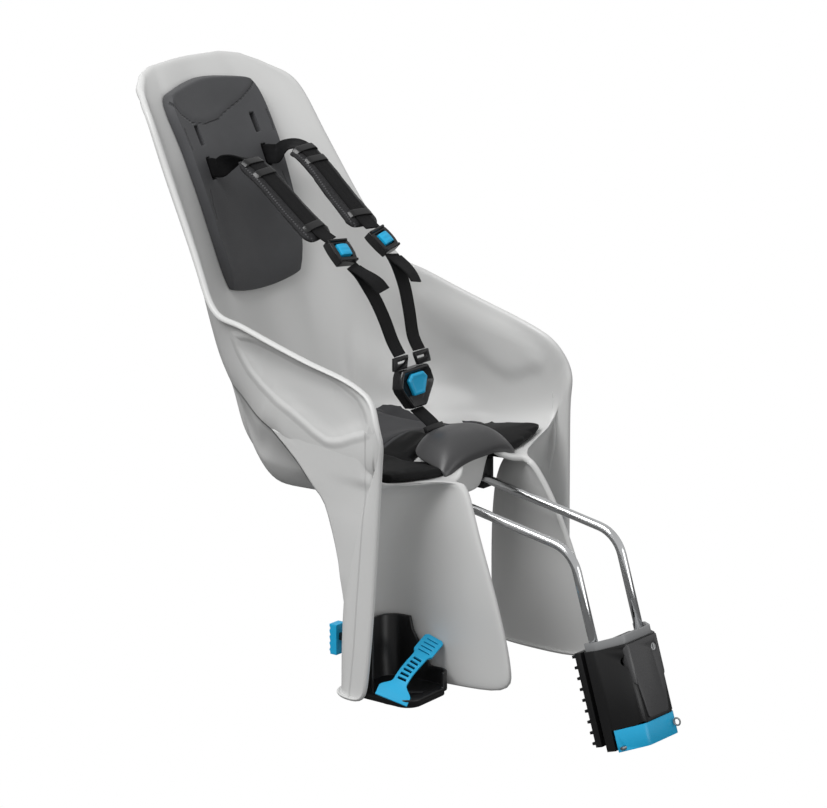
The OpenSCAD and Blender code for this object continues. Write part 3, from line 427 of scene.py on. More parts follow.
@dataclass(frozen=True)
class Webbing:
    """Woven polyester tape with ribs across it and bound edges, its raised threads painted lighter and its
    hollows darker.
    """

    name: str
    colour: tuple[float, float, float]
    rib: float = 0.0011
    half_width: float = 0.011

    def make(self) -> bpy.types.Material:
        """Build the material from the strap's own map.

        Returns:
            The material.
        """
        tree = ShaderTree(self.name)
        across, along = tree.weave_axes()
        turn = 2 * math.pi / self.rib
        warp = (across * turn).sine()
        weft = (along * turn + warp * 0.9).sine()
        rows = (abs(across) * (math.pi / self.half_width * 1.5)).sine()
        height = weft * 0.5 + warp * 0.25 + rows * 0.35
        cloud = tree.noise(60.0, 3.0)
        # Painted light and shade: the raised threads of the weave are painted lighter and its hollows darker;
        # the cloud adds a random tone.
        lift = height.ramp(-0.9, 0.9) * 0.75 + cloud * 0.25
        colour = tree.mix(lift, shade(self.colour, 0.55), shade(self.colour, 1.9))
        normal = tree.bump(height.ramp(-1.0, 1.0), 0.00022, 0.9)
        rough = 0.66 - height * 0.06
        return tree.close({"Base Color": colour, "Roughness": rough, "Normal": normal,
                           "Specular IOR Level": 0.16, "Sheen Weight": 0.02, "Sheen Roughness": 0.4})


@dataclass(frozen=True)
class MeshFabric:
    """Spacer mesh on the shoulder pads, with a stitched border and painted shade in its holes."""

    name: str = "sleeve_mesh"
    colour: tuple[float, float, float] = (0.012, 0.012, 0.013)

    def make(self) -> bpy.types.Material:
        """Build the material; the attribute groove is the distance to the stitch line in mm.

        Returns:
            The material.
        """
        tree = ShaderTree(self.name)
        holes = tree.cells(620.0)
        line = tree.attribute("groove").ramp(0.2, 1.3, 1.0, 0.0)
        stitch = (tree.attribute("along") * (2 * math.pi / 3.2)).sine().ramp(-0.35, 0.1)
        thread = line * stitch
        cloud = tree.noise(30.0, 3.0)
        # Painted shade: the mesh's holes are painted darker and the strands between them lighter.
        base = tree.mix(holes.ramp(0.1, 0.7), shade(self.colour, 0.45), shade(self.colour, 1.7))
        colour = tree.mix(thread * 0.8, base, shade((0.10, 0.10, 0.105), 1.0))
        rough = 0.72 + (cloud - 0.5) * 0.2
        press = tree.bump(1.0 - line * 0.8 + thread * 0.5, 0.0009, 0.9)
        normal = tree.bump(holes, 0.0004, 0.8, press)
        return tree.close({"Base Color": colour, "Roughness": rough, "Normal": normal,
                           "Specular IOR Level": 0.32, "Sheen Weight": 0.08, "Sheen Roughness": 0.4})


@dataclass(frozen=True)
class PlatedSteel:
    """Steel with a bright or a dull plating."""

    name: str
    colour: tuple[float, float, float]
    roughness: float
    streak: float = 0.05

    def make(self) -> bpy.types.Material:
        """Build the material.

        Returns:
            The material.
        """
        tree = ShaderTree(self.name)
        cloud = tree.noise(45.0, 4.0, 0.65)
        fine = tree.noise(900.0, 3.0, 0.7)
        colour = tree.mix(cloud.ramp(0.35, 0.7), shade(self.colour, 0.94), shade(self.colour, 1.03))
        rough = self.roughness + (fine - 0.5) * self.streak + (cloud - 0.5) * self.streak
        normal = tree.bump(fine, 0.00002, 0.3)
        return tree.close({"Base Color": colour, "Roughness": rough, "Normal": normal, "Metallic": 1.0})


@dataclass(frozen=True)
class ReflectorLens:
    """Red lens with small cube corners behind a clear face, the corners painted with bright glints."""

    name: str = "red_lens"
    colour: tuple[float, float, float] = (0.56, 0.012, 0.010)
    pitch: float = 0.0026

    def make(self) -> bpy.types.Material:
        """Build the material.

        Returns:
            The material.
        """
        tree = ShaderTree(self.name)
        x, _, z = tree.axes(tree.places())
        turn = 2 * math.pi / self.pitch
        prism = (x * turn).sine() * (z * turn).sine()
        # Painted reflection: the cube corners are painted as bright glints on a darker red.
        prism_painted_glint = prism.ramp(-0.5, 0.8)
        colour = tree.mix(prism_painted_glint, shade(self.colour, 0.5), shade((0.85, 0.06, 0.05), 1.0))
        normal = tree.bump(prism.ramp(-1.0, 1.0), 0.0005, 0.6)
        return tree.close({"Base Color": colour, "Roughness": 0.14, "Normal": normal,
                           "Coat Weight": 1.0, "Coat Roughness": 0.05, "Specular IOR Level": 0.6})


@dataclass(frozen=True)
class Rubber:
    """Dull rubber with fine ribs across the liner."""

    name: str = "liner_rubber"
    colour: tuple[float, float, float] = (0.018, 0.018, 0.018)

    def make(self) -> bpy.types.Material:
        """Build the material.

        Returns:
            The material.
        """
        tree = ShaderTree(self.name)
        dust = tree.noise(180.0, 4.0, 0.7)
        _, _, z = tree.axes(tree.places())
        ribs = (z * (2 * math.pi / 0.004)).sine()
        colour = tree.mix(dust.ramp(0.4, 0.8), shade(self.colour, 0.8), shade(self.colour, 2.2))
        normal = tree.bump(ribs.ramp(-1.0, 1.0), 0.0004, 0.7)
        return tree.close({"Base Color": colour, "Roughness": 0.8 + (dust - 0.5) * 0.1, "Normal": normal})


class Finishes:
    """Every finish of the seat, made once."""

    def __init__(self) -> None:
        """Build the materials."""
        self.shell = ShellPlastic().make()
        self.pad = FoamSkin("pad_foam", (0.060, 0.061, 0.065)).make()
        self.pad_dark = FoamSkin("seat_foam", (0.048, 0.048, 0.051), specular=0.18, sheen=0.02).make()
        self.nose = MouldedPlastic("nose_plastic", (0.060, 0.060, 0.062), 0.36).make()
        self.black = MouldedPlastic("black_plastic", (0.0075, 0.0075, 0.0080), 0.36).make()
        self.black_gloss = MouldedPlastic("buckle_plastic", (0.012, 0.012, 0.0125), 0.24,
                                          depth=0.00003).make()
        self.cover = MouldedPlastic("cover_plastic", (0.062, 0.062, 0.064), 0.28).make()
        self.guide = MouldedPlastic("guide_plastic", (0.26, 0.265, 0.27), 0.4).make()
        self.blue = MouldedPlastic("blue_plastic", (0.012, 0.400, 0.700), 0.34, depth=0.00004,
                                   specular=0.5).make()
        self.bright = PlatedSteel("bright_plating", (0.80, 0.81, 0.82), 0.14).make()
        self.zinc = PlatedSteel("zinc_plating", (0.52, 0.53, 0.54), 0.34, 0.1).make()
        self.webbing = Webbing("webbing", (0.0048, 0.0048, 0.0052)).make()
        self.sleeve = MeshFabric().make()
        self.rubber = Rubber().make()
        self.lens = ReflectorLens().make()


# Mesh building


def smooth_line(points: Sequence[Vector], count: int) -> list[Vector]:
    """Points spaced evenly along a smooth curve through the given ones.

    Args:
        points: what the curve passes through, of any number of coordinates.
        count: how many points to give back.

    Returns:
        The new points.
    """
    dense: list[Vector] = []
    last = len(points) - 1
    for i in range(last):
        a, b, c, d = (points[max(0, i - 1)], points[i], points[i + 1], points[min(last, i + 2)])
        for k in range(16):
            t = k / 16
            dense.append(0.5 * (2 * b + (c - a) * t + (2 * a - 5 * b + 4 * c - d) * t ** 2
                                + (3 * b - a - 3 * c + d) * t ** 3))
    dense.append(points[last].copy())
    lengths = [0.0]
    for p, q in zip(dense, dense[1:]):
        lengths.append(lengths[-1] + (q - p).length)
    out: list[Vector] = []
    k = 0
    for i in range(count):
        goal = lengths[-1] * i / (count - 1)
        while k < len(dense) - 2 and lengths[k + 1] < goal:
            k += 1
        span = max(lengths[k + 1] - lengths[k], 1e-12)
        out.append(dense[k].lerp(dense[k + 1], min(1.0, (goal - lengths[k]) / span)))
    return out


@dataclass
class Route:
    """A path with a width direction at each point, as straps follow it."""

    points: list[Vector]
    widths: list[Vector]

    @classmethod
    def through(cls, points: Sequence[Vector], widths: Sequence[Vector], count: int) -> "Route":
        """A smooth route through given points.

        Args:
            points: places in metres.
            widths: the direction across the strap at each of them.
            count: how many points the route gets.

        Returns:
            The route.
        """
        both = [Vector((*p, *(w.normalized() * 0.02))) for p, w in zip(points, widths)]
        line = smooth_line(both, count)
        return cls([Vector(v[:3]) for v in line], [Vector(v[3:]).normalized() for v in line])

    def frames(self) -> list[Matrix]:
        """Find the local axes at each point.

        Returns:
            One matrix for each point: across, up off the flat side, and along.
        """
        out: list[Matrix] = []
        last = len(self.points) - 1
        for i, (p, w) in enumerate(zip(self.points, self.widths)):
            ahead = (self.points[min(last, i + 1)] - self.points[max(0, i - 1)]).normalized()
            side = (w - ahead * w.dot(ahead)).normalized()
            up = side.cross(ahead)
            turned = Matrix((side, up, ahead)).transposed().to_4x4()
            out.append(Matrix.Translation(p) @ turned)
        return out

    def lengths(self) -> list[float]:
        """Measure the route.

        Returns:
            The distance along it at each point.
        """
        out = [0.0]
        for p, q in zip(self.points, self.points[1:]):
            out.append(out[-1] + (q - p).length)
        return out

    def part(self, start: float, end: float, count: int) -> "Route":
        """A stretch of the route.

        Args:
            start: share of the length at which it begins.
            end: share of the length at which it ends.
            count: how many points it gets.

        Returns:
            The stretch as a route of its own.
        """
        total = self.lengths()
        picks = [start + (end - start) * i / (count - 1) for i in range(count)]
        points: list[Vector] = []
        widths: list[Vector] = []
        for share in picks:
            goal = share * total[-1]
            above = next((j for j, v in enumerate(total) if v > goal), len(total))
            k = max(0, min(len(total) - 2, above - 1))
            t = (goal - total[k]) / max(total[k + 1] - total[k], 1e-12)
            points.append(self.points[k].lerp(self.points[k + 1], t))
            widths.append(self.widths[k].lerp(self.widths[k + 1], t).normalized())
        return Route(points, widths)


def finish_mesh(name: str, bm: bmesh.types.BMesh, sharp: float = 40.0) -> bpy.types.Object:
    """Turn a bmesh into a smooth-shaded object with sharp edges above an angle.

    Args:
        name: the object's name.
        bm: the mesh, freed here.
        sharp: the angle in degrees; edges above it stay sharp.

    Returns:
        The object.
    """
    mesh = bpy.data.meshes.new(name)
    bm.to_mesh(mesh)
    bm.free()
    mesh.shade_smooth()
    mesh.set_sharp_from_angle(angle=math.radians(sharp))
    piece = bpy.data.objects.new(name, mesh)
    bpy.context.scene.collection.objects.link(piece)
    return piece


def bake_modifiers(piece: bpy.types.Object) -> None:
    """Replace a piece's mesh by what its modifiers make of it.

    Args:
        piece: the piece, which loses its modifiers.
    """
    graph = bpy.context.evaluated_depsgraph_get()
    graph.update()
    made = bpy.data.meshes.new_from_object(piece.evaluated_get(graph), depsgraph=graph)
    piece.modifiers.clear()
    old = piece.data
    piece.data = made
    made.name = old.name
    bpy.data.meshes.remove(old)


def subdivide(piece: bpy.types.Object, levels: int) -> None:
    """Apply a subdivision surface.

    Args:
        piece: the piece.
        levels: how many times each face is split.
    """
    maker = piece.modifiers.new("Subdivision", "SUBSURF")
    maker.levels = levels
    maker.render_levels = levels
    bake_modifiers(piece)


def soften(bm: bmesh.types.BMesh, width: float, angle: float = 30.0, segments: int = 2) -> None:
    """Round every edge that turns more than an angle.

    Args:
        bm: the mesh.
        width: radius of the rounding in metres.
        angle: the least turn in degrees.
        segments: steps across the rounding.
    """
    limit = math.radians(angle)
    edges = [e for e in bm.edges if e.is_manifold and e.calc_face_angle() > limit]
    bmesh.ops.bevel(bm, geom=edges, offset=width, offset_type="OFFSET", affect="EDGES",
                    segments=segments, profile=0.5, material=-1, clamp_overlap=True)


def thicken(bm: bmesh.types.BMesh, thickness: float, out: Vector | None = None) -> None:
    """Give a sheet a thickness.

    Args:
        bm: the sheet.
        thickness: the distance between its faces in metres.
        out: the side that its faces are turned to first, where that matters.
    """
    bmesh.ops.recalc_face_normals(bm, faces=bm.faces)
    if out is not None and sum(f.normal.dot(out) for f in bm.faces) < 0:
        bmesh.ops.reverse_faces(bm, faces=bm.faces)
    bmesh.ops.solidify(bm, geom=bm.faces, thickness=thickness)
    bmesh.ops.recalc_face_normals(bm, faces=bm.faces)


def block(size: Sequence[float], cuts: int) -> bmesh.types.BMesh:
    """A box about the origin with its faces split into a grid.

    Args:
        size: its sides in mm.
        cuts: cuts across each edge.

    Returns:
        The mesh.
    """
    bm = bmesh.new()
    bmesh.ops.create_cube(bm, size=1.0)
    bmesh.ops.scale(bm, vec=mm(*size), verts=bm.verts)
    bmesh.ops.subdivide_edges(bm, edges=bm.edges, cuts=cuts, use_grid_fill=True)
    return bm


def stepped(bm: bmesh.types.BMesh, faces: Sequence[bmesh.types.BMFace], inset: float, rise: float) -> None:
    """Inset some faces and shift what is left of them along z.

    Args:
        bm: the mesh.
        faces: the faces.
        inset: width of the border in metres.
        rise: the shift in mm.
    """
    bmesh.ops.inset_region(bm, faces=faces, thickness=inset, depth=0.0)
    bmesh.ops.translate(bm, vec=mm(0, 0, rise), verts=list({v for f in faces for v in f.verts}))


def swept(name: str, route: Route, half_width: Callable[[float], float],
          half_depth: Callable[[float], float], square: float = 0.35,
          sides: int = 16, lift: float = 0.0) -> bpy.types.Object:
    """Pull a rounded flat section along a route.

    Args:
        name: the object's name.
        route: the path.
        half_width: half width at a share of the length.
        half_depth: half thickness at a share of the length.
        square: power that squares the section; 1 is an ellipse.
        sides: points round the section.
        lift: distance of the section's middle above the route.

    Returns:
        The object, with a map of metres across and along.
    """
    bm = bmesh.new()
    stamp = bm.verts.layers.float_vector.new("place")
    ring = bmesh.ops.create_circle(bm, segments=sides, radius=1.0, cap_ends=False)["verts"]
    corners = []
    for vert in ring:
        c, s = vert.co.x, vert.co.y
        corners.append((math.copysign(abs(c) ** square, c), math.copysign(abs(s) ** square, s)))
    frames = route.frames()
    lengths = route.lengths()
    total = lengths[-1]

    def settle(verts: Sequence[bmesh.types.BMVert], i: int) -> None:
        """Put one ring of points in its place.

        Args:
            verts: the ring.
            i: number of the route's point that it belongs to.
        """
        share = lengths[i] / total
        for vert, (c, s) in zip(verts, corners):
            across = c * half_width(share)
            vert[stamp] = Vector((across, lengths[i], s))
            vert.co = frames[i] @ Vector((across, s * half_depth(share) + lift, 0.0))

    settle(ring, 0)
    for i in range(1, len(frames)):
        order = {v: k for k, v in enumerate(ring)}
        edges = [e for e in bm.edges if e.verts[0] in order and e.verts[1] in order]
        made = bmesh.ops.extrude_edge_only(bm, edges=edges)["geom"]
        fresh: list[bmesh.types.BMVert | None] = [None] * sides
        for vert in (g for g in made if isinstance(g, bmesh.types.BMVert)):
            near = next(e.other_vert(vert) for e in vert.link_edges if e.other_vert(vert) in order)
            fresh[order[near]] = vert
        ring = fresh
        settle(ring, i)
    bmesh.ops.holes_fill(bm, edges=[e for e in bm.edges if e.is_boundary], sides=0)
    bmesh.ops.recalc_face_normals(bm, faces=bm.faces)
    sheet = bm.loops.layers.uv.new(WEAVE_MAP)
    for face in bm.faces:
        for loop in face.loops:
            loop[sheet].uv = loop.vert[stamp].xy
    return finish_mesh(name, bm, 60.0)


def even(value: float) -> Callable[[float], float]:
    """The same number all along."""
    return lambda share: value


def line_distance(x: float, y: float, line: Sequence[tuple[float, float]]) -> float:
    """Distance from a point to an open line in a plane.

    Args:
        x: the point's first number.
        y: the point's second number.
        line: the line's corners.

    Returns:
        The shortest distance.
    """
    best = 1e9
    for (ax, ay), (bx, by) in zip(line, line[1:]):
        dx, dy = bx - ax, by - ay
        t = max(0.0, min(1.0, ((x - ax) * dx + (y - ay) * dy) / max(dx * dx + dy * dy, 1e-12)))
        best = min(best, math.hypot(x - ax - t * dx, y - ay - t * dy))
    return best


def write_numbers(mesh: bpy.types.Mesh, name: str, numbers: Sequence[float]) -> None:
    """Store one number at each point of a mesh.

    Args:
        mesh: the mesh.
        name: the attribute's name.
        numbers: one number for each vertex.
    """
    layer = mesh.attributes.new(name, "FLOAT", "POINT")
    layer.data.foreach_set("value", list(numbers))


class Bench:
    """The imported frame, and what every new piece is told about it."""

    def __init__(self) -> None:
        """Load the frame and keep its box."""
        self.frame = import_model()
        self.first_box = [list(corner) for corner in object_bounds()]
        bodies = self.frame["record"]["behaviour"]["bodies"]
        self.body_of = {node: body for body, nodes in bodies.items() for node in nodes}
        self.nodes = self.frame["nodes"]

    def welded(self, node: str, quads: bool = False) -> bmesh.types.BMesh:
        """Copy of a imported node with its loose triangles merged.

        Args:
            node: the node's name.
            quads: whether to pair the triangles again.

        Returns:
            The mesh.
        """
        bm = bmesh.new()
        bm.from_mesh(self.nodes[node].data)
        bmesh.ops.remove_doubles(bm, verts=bm.verts, dist=2e-5)
        if quads:
            bmesh.ops.join_triangles(bm, faces=bm.faces, angle_face_threshold=math.radians(60),
                                     angle_shape_threshold=math.radians(80))
        return bm

    def place(self, piece: bpy.types.Object, material: bpy.types.Material, body: str,
              slot: str, *replaced: str) -> bpy.types.Object:
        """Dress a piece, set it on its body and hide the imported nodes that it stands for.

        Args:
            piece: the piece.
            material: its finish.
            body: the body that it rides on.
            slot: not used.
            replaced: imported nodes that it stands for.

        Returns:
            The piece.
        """
        piece.data.materials.clear()
        piece.data.materials.append(material)
        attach(piece, body)
        if replaced:
            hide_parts(*replaced)
        LOG.info("%s rides on %s, %d faces", piece.name, body, len(piece.data.polygons))
        return piece

    def rounded_copy(self, node: str, material: bpy.types.Material, slot: str, width: float,
                     angle: float = 30.0, segments: int = 2) -> bpy.types.Object:
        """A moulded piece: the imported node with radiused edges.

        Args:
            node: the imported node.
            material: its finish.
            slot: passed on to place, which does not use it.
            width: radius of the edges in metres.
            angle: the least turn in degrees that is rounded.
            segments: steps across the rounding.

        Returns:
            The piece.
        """
        bm = self.welded(node)
        bmesh.ops.dissolve_limit(bm, angle_limit=math.radians(1.0), verts=bm.verts, edges=bm.edges)
        soften(bm, width, angle, segments)
        piece = finish_mesh(node + "_shape", bm, 38.0)
        return self.place(piece, material, self.body_of[node], slot, node)

    def smooth_copy(self, node: str, material: bpy.types.Material, slot: str) -> bpy.types.Object:
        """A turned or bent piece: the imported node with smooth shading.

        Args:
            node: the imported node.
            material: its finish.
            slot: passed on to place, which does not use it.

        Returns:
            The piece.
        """
        piece = finish_mesh(node + "_shape", self.welded(node), 42.0)
        return self.place(piece, material, self.body_of[node], slot, node)


# The seat's parts


def ease(value: float, low: float, high: float) -> float:
    """Smooth step from 0 at low to 1 at high."""
    t = max(0.0, min(1.0, (value - low) / (high - low)))
    return t * t * (3 - 2 * t)


def line_height(y: float, line: Sequence[tuple[float, float]]) -> float | None:
    """Height of a line at a depth.

    Args:
        y: the depth.
        line: the line's corners.

    Returns:
        The height, or nothing beyond the line's ends.
    """
    for (ay, az), (by, bz) in zip(line, line[1:]):
        if min(ay, by) <= y <= max(ay, by):
            return az + (bz - az) * (y - ay) / (by - ay)
    return None


# Lower edge of the arms' skirt, seen from the side: depth and height in mm
SKIRT = ((470, 330), (435, 307), (412, 295), (388, 281), (363, 270), (342, 259), (324, 246), (308, 231),
         (296, 217), (284, 204))
# How far the pan's side is drawn in below that edge, and how far it hangs down, in mm
PAN_INSET = 20.0
PAN_DROP = 9.0
PAN_SAG_AT = 392.0
PAN_SAG_HALF = 26.0


def pan_inset(x: float, y: float, z: float) -> float:
    """How far the pan's side lies inside the arm's skirt.

    Args:
        x: place across in mm.
        y: depth in mm.
        z: height in mm.

    Returns:
        The inset in mm.
    """
    edge = line_height(y, SKIRT)
    if edge is None:
        return 0.0
    return (PAN_INSET * ease(edge - z, 0, 22) * ease(abs(x), 88, 126) * ease(y, 284, 306)
            * (1 - ease(y, 440, 470)))


def pan_drop(x: float, y: float, z: float) -> float:
    """How far the pan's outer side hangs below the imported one.

    Args:
        x: place across in mm.
        y: depth in mm.
        z: height in mm.

    Returns:
        The drop in mm.
    """
    edge = line_height(y, SKIRT)
    if edge is None:
        return 0.0
    deep = PAN_DROP * (1 + max(0.0, 1 - abs(y - PAN_SAG_AT) / PAN_SAG_HALF))
    return deep * ease(edge - z, 6, 30) * ease(abs(x), 92, 122) * ease(y, 286, 302) * (1 - ease(y, 402, 436))


@dataclass
class Shell:
    """One-piece moulding: back, arms, pan, leg guards and neck."""

    bench: Bench
    finishes: Finishes
    levels: int = 2
    scoop: float = 3.6
    scoop_run: tuple[float, float] = (-1.0, 13.0)
    arm_from: float = 120.0
    arm_back: float = 430.0
    lip_top: float = 300.0
    skirt_front: float = 276.0
    far_off: float = 60.0
    web_columns: int = 8
    web_from: float = 272.0
    web_tuck: float = 0.4
    web_lean: float = 0.03
    web_root: float = 1.0
    web_wall: float = 0.0026
    rim: tuple[tuple[float, float], ...] = (
        (426, 389), (398, 383), (361, 372), (327, 362), (296, 354), (254, 343), (238, 338), (221, 330),
        (207, 316), (201, 300), (199, 279), (200, 245), (202, 196), (206, 106), (208, 49), (212, -2),
    )
    leaf: tuple[tuple[float, float], ...] = (
        (408, 367), (384, 369), (354, 363), (323, 355), (298, 350), (274, 345), (259, 339), (246, 333),
        (235, 327), (227, 318), (220, 306), (219, 296), (226, 292), (240, 287), (256, 280), (266, 277),
        (278, 276), (294, 282), (311, 291), (329, 300), (351, 309), (373, 321), (390, 334), (403, 352),
        (408, 367),
    )
    web_rows: tuple[tuple[float, float, float, float, float], ...] = (
        (272, 216, 0, 367, 0), (262, 215, 0, 348, 0), (250, 213, 0, 329, 0), (240, 212, 0, 317, 0),
        (230, 211, 163.4, 307, 160.3), (221, 211, 164.0, 298, 160.6), (212, 212, 164.8, 287, 161.0),
        (203, 214, 165.6, 280, 161.6), (192, 217, 166.8, 275, 162.4), (176, 221, 168.0, 269, 163.2),
        (161, 225, 168.6, 264, 164.0), (144, 230, 168.8, 259, 165.2), (128, 234, 169.2, 256, 166.2),
        (110, 238, 169.0, 253, 165.6), (92, 241, 169.0, 250, 165.6),
    )

    def build(self) -> None:
        """Make the smooth shell, its webs and its distances."""
        bm = self.bench.welded("seat_shell", quads=True)
        bm.normal_update()
        for vert in bm.verts:
            x, y, z = vert.co / MM
            vert.co.x -= math.copysign(pan_inset(x, y, z), x) * MM
            if vert.normal.z < 0.1:
                vert.co.z -= pan_drop(x, y, z) * MM
        shell = finish_mesh("shell_moulding", bm)
        subdivide(shell, self.levels)
        for vert in shell.data.vertices:
            x, y, z = vert.co / MM
            if abs(x) > self.arm_from and y < self.arm_back:
                depth = self.scoop * ease(self.leaf_side(y, z), *self.scoop_run)
                vert.co.x -= math.copysign(depth, x) * MM
        bm = bmesh.new()
        bm.from_mesh(shell.data)
        wall = BVHTree.FromBMesh(bm)
        for side in Side:
            self.web(bm, wall, side)
        bm.to_mesh(shell.data)
        bm.free()
        shell.data.shade_smooth()
        self.measure(shell.data)
        self.bench.place(shell, self.finishes.shell, "seat", "shell", "seat_shell")

    def leaf_side(self, y: float, z: float) -> float:
        """Signed distance to the outline of the leaf-shaped hollow of an arm.

        Args:
            y: depth in mm.
            z: height in mm.

        Returns:
            The distance in mm, positive inside the hollow.
        """
        if not (150 < z < 420 and 180 < y < 460):
            return -self.far_off
        inside = False
        for (ay, az), (by, bz) in zip(self.leaf, self.leaf[1:]):
            if (az > z) != (bz > z) and y < (by - ay) * (z - az) / (bz - az) + ay:
                inside = not inside
        gap = line_distance(y, z, self.leaf)
        return gap if inside else -gap

    def outer_x(self, wall: BVHTree, side: Side, y: float, z: float) -> float:
        """Half width of the shell's outer skin.

        Args:
            wall: the shell.
            side: which arm.
            y: depth in mm.
            z: height in mm.

        Returns:
            The half width in mm.
        """
        hit = wall.ray_cast(mm(300 * side.sign, y, z), Vector((-side.sign, 0, 0)))[0]
        return abs(hit.x) / MM if hit else 160.0

    def web(self, bm: bmesh.types.BMesh, wall: BVHTree, side: Side) -> None:
        """Add the web that joins the skirt of an arm to the rear of its leg guard.

        Args:
            bm: the shell, which the web is added to.
            wall: the shell as it is without webs.
            side: which arm.
        """
        part = bmesh.new()
        last = len(self.web_rows) - 1
        grid = bmesh.ops.create_grid(part, x_segments=self.web_columns, y_segments=last, size=0.5)["verts"]
        for vert in grid:
            share = round((vert.co.x + 0.5) * self.web_columns) / self.web_columns
            z, near, wide, far, narrow = self.web_rows[round((vert.co.y + 0.5) * last)]
            y = near + (far - near) * share
            x = wide + (narrow - wide) * share ** 1.4
            if not wide:
                lean = self.web_lean * (self.web_from - z)
                x = self.outer_x(wall, side, y, self.web_from) - self.web_tuck + lean
            if share == 0:
                x = min(x, self.outer_x(wall, side, y, z) - self.web_root)
            vert.co = mm(x * side.sign, y, z)
        bmesh.ops.subdivide_edges(part, edges=part.edges, cuts=2, use_grid_fill=True)
        bmesh.ops.smooth_vert(part, verts=[v for v in part.verts if not v.is_boundary], factor=0.5,
                              use_axis_x=True, use_axis_y=True, use_axis_z=True)
        thicken(part, self.web_wall, Vector((side.sign, 0, 0)))
        copy = bpy.data.meshes.new("web")
        part.to_mesh(copy)
        part.free()
        bm.from_mesh(copy)
        bpy.data.meshes.remove(copy)

    def measure(self, mesh: bpy.types.Mesh) -> None:
        """Store the distances that the finish draws its lines from.

        Args:
            mesh: the shell's mesh.
        """
        lips: list[float] = []
        leaves: list[float] = []
        skirts: list[float] = []
        for vert in mesh.vertices:
            x, y, z = vert.co / MM
            on_arm = abs(x) > 100 and vert.normal.x * math.copysign(1.0, x) > 0.2
            lips.append(line_distance(y, z, self.rim) if on_arm and z < self.lip_top else self.far_off)
            leaves.append(self.leaf_side(y, z) if on_arm else -self.far_off)
            skirts.append(self.skirt_side(y, z) if on_arm and y > self.skirt_front else self.far_off)
        write_numbers(mesh, "lip", lips)
        write_numbers(mesh, "leaf", leaves)
        write_numbers(mesh, "skirt", skirts)

    def skirt_side(self, y: float, z: float) -> float:
        """Signed distance to the skirt's lower edge.

        Args:
            y: depth in mm.
            z: height in mm.

        Returns:
            The distance in mm, negative below the edge.
        """
        edge = line_height(y, SKIRT)
        if edge is None:
            return self.far_off
        gap = line_distance(y, z, SKIRT)
        return gap if z > edge else -gap


@dataclass
class Swelling:
    """Cloth simulation that blows a pad up and holds each point near where it began."""

    voxel: float
    pressure: float
    cap: float
    frames: int = 20
    quality: int = 6
    mass: float = 0.2
    stretch: float = 18.0
    shear: float = 8.0
    bending: float = 1.2
    hold: float = 2.0

    def apply(self, piece: bpy.types.Object, held: Callable[[Vector, Vector], float]) -> None:
        """Remesh, swell and cap.

        Args:
            piece: the pad.
            held: how firmly a point is fixed, 0 to 1, from its place and normal.
        """
        remesh = piece.modifiers.new("Remesh", "REMESH")
        remesh.mode = "VOXEL"
        remesh.voxel_size = self.voxel
        remesh.use_smooth_shade = True
        bake_modifiers(piece)
        mesh = piece.data
        rest = [v.co.copy() for v in mesh.vertices]
        pins = piece.vertex_groups.new(name="held")
        for vert in mesh.vertices:
            pins.add([vert.index], held(vert.co, vert.normal), "REPLACE")
        cloth = piece.modifiers.new("Cloth", "CLOTH")
        settings = cloth.settings
        settings.quality = self.quality
        settings.mass = self.mass
        settings.tension_stiffness = self.stretch
        settings.compression_stiffness = self.stretch
        settings.shear_stiffness = self.shear
        settings.bending_stiffness = self.bending
        settings.use_pressure = True
        settings.uniform_pressure_force = self.pressure
        settings.effector_weights.gravity = 0.0
        settings.vertex_group_mass = "held"
        settings.pin_stiffness = self.hold
        cloth.collision_settings.use_collision = False
        cloth.point_cache.frame_start = 1
        cloth.point_cache.frame_end = self.frames
        scene = bpy.context.scene
        for step in range(1, self.frames + 1):
            scene.frame_set(step)
        graph = bpy.context.evaluated_depsgraph_get()
        moved = [v.co.copy() for v in piece.evaluated_get(graph).data.vertices]
        piece.modifiers.clear()
        scene.frame_set(1)
        for vert, start, end in zip(piece.data.vertices, rest, moved):
            shift = end - start
            if shift.length > self.cap:
                shift = shift.normalized() * self.cap
            vert.co = start + shift
        piece.data.update()


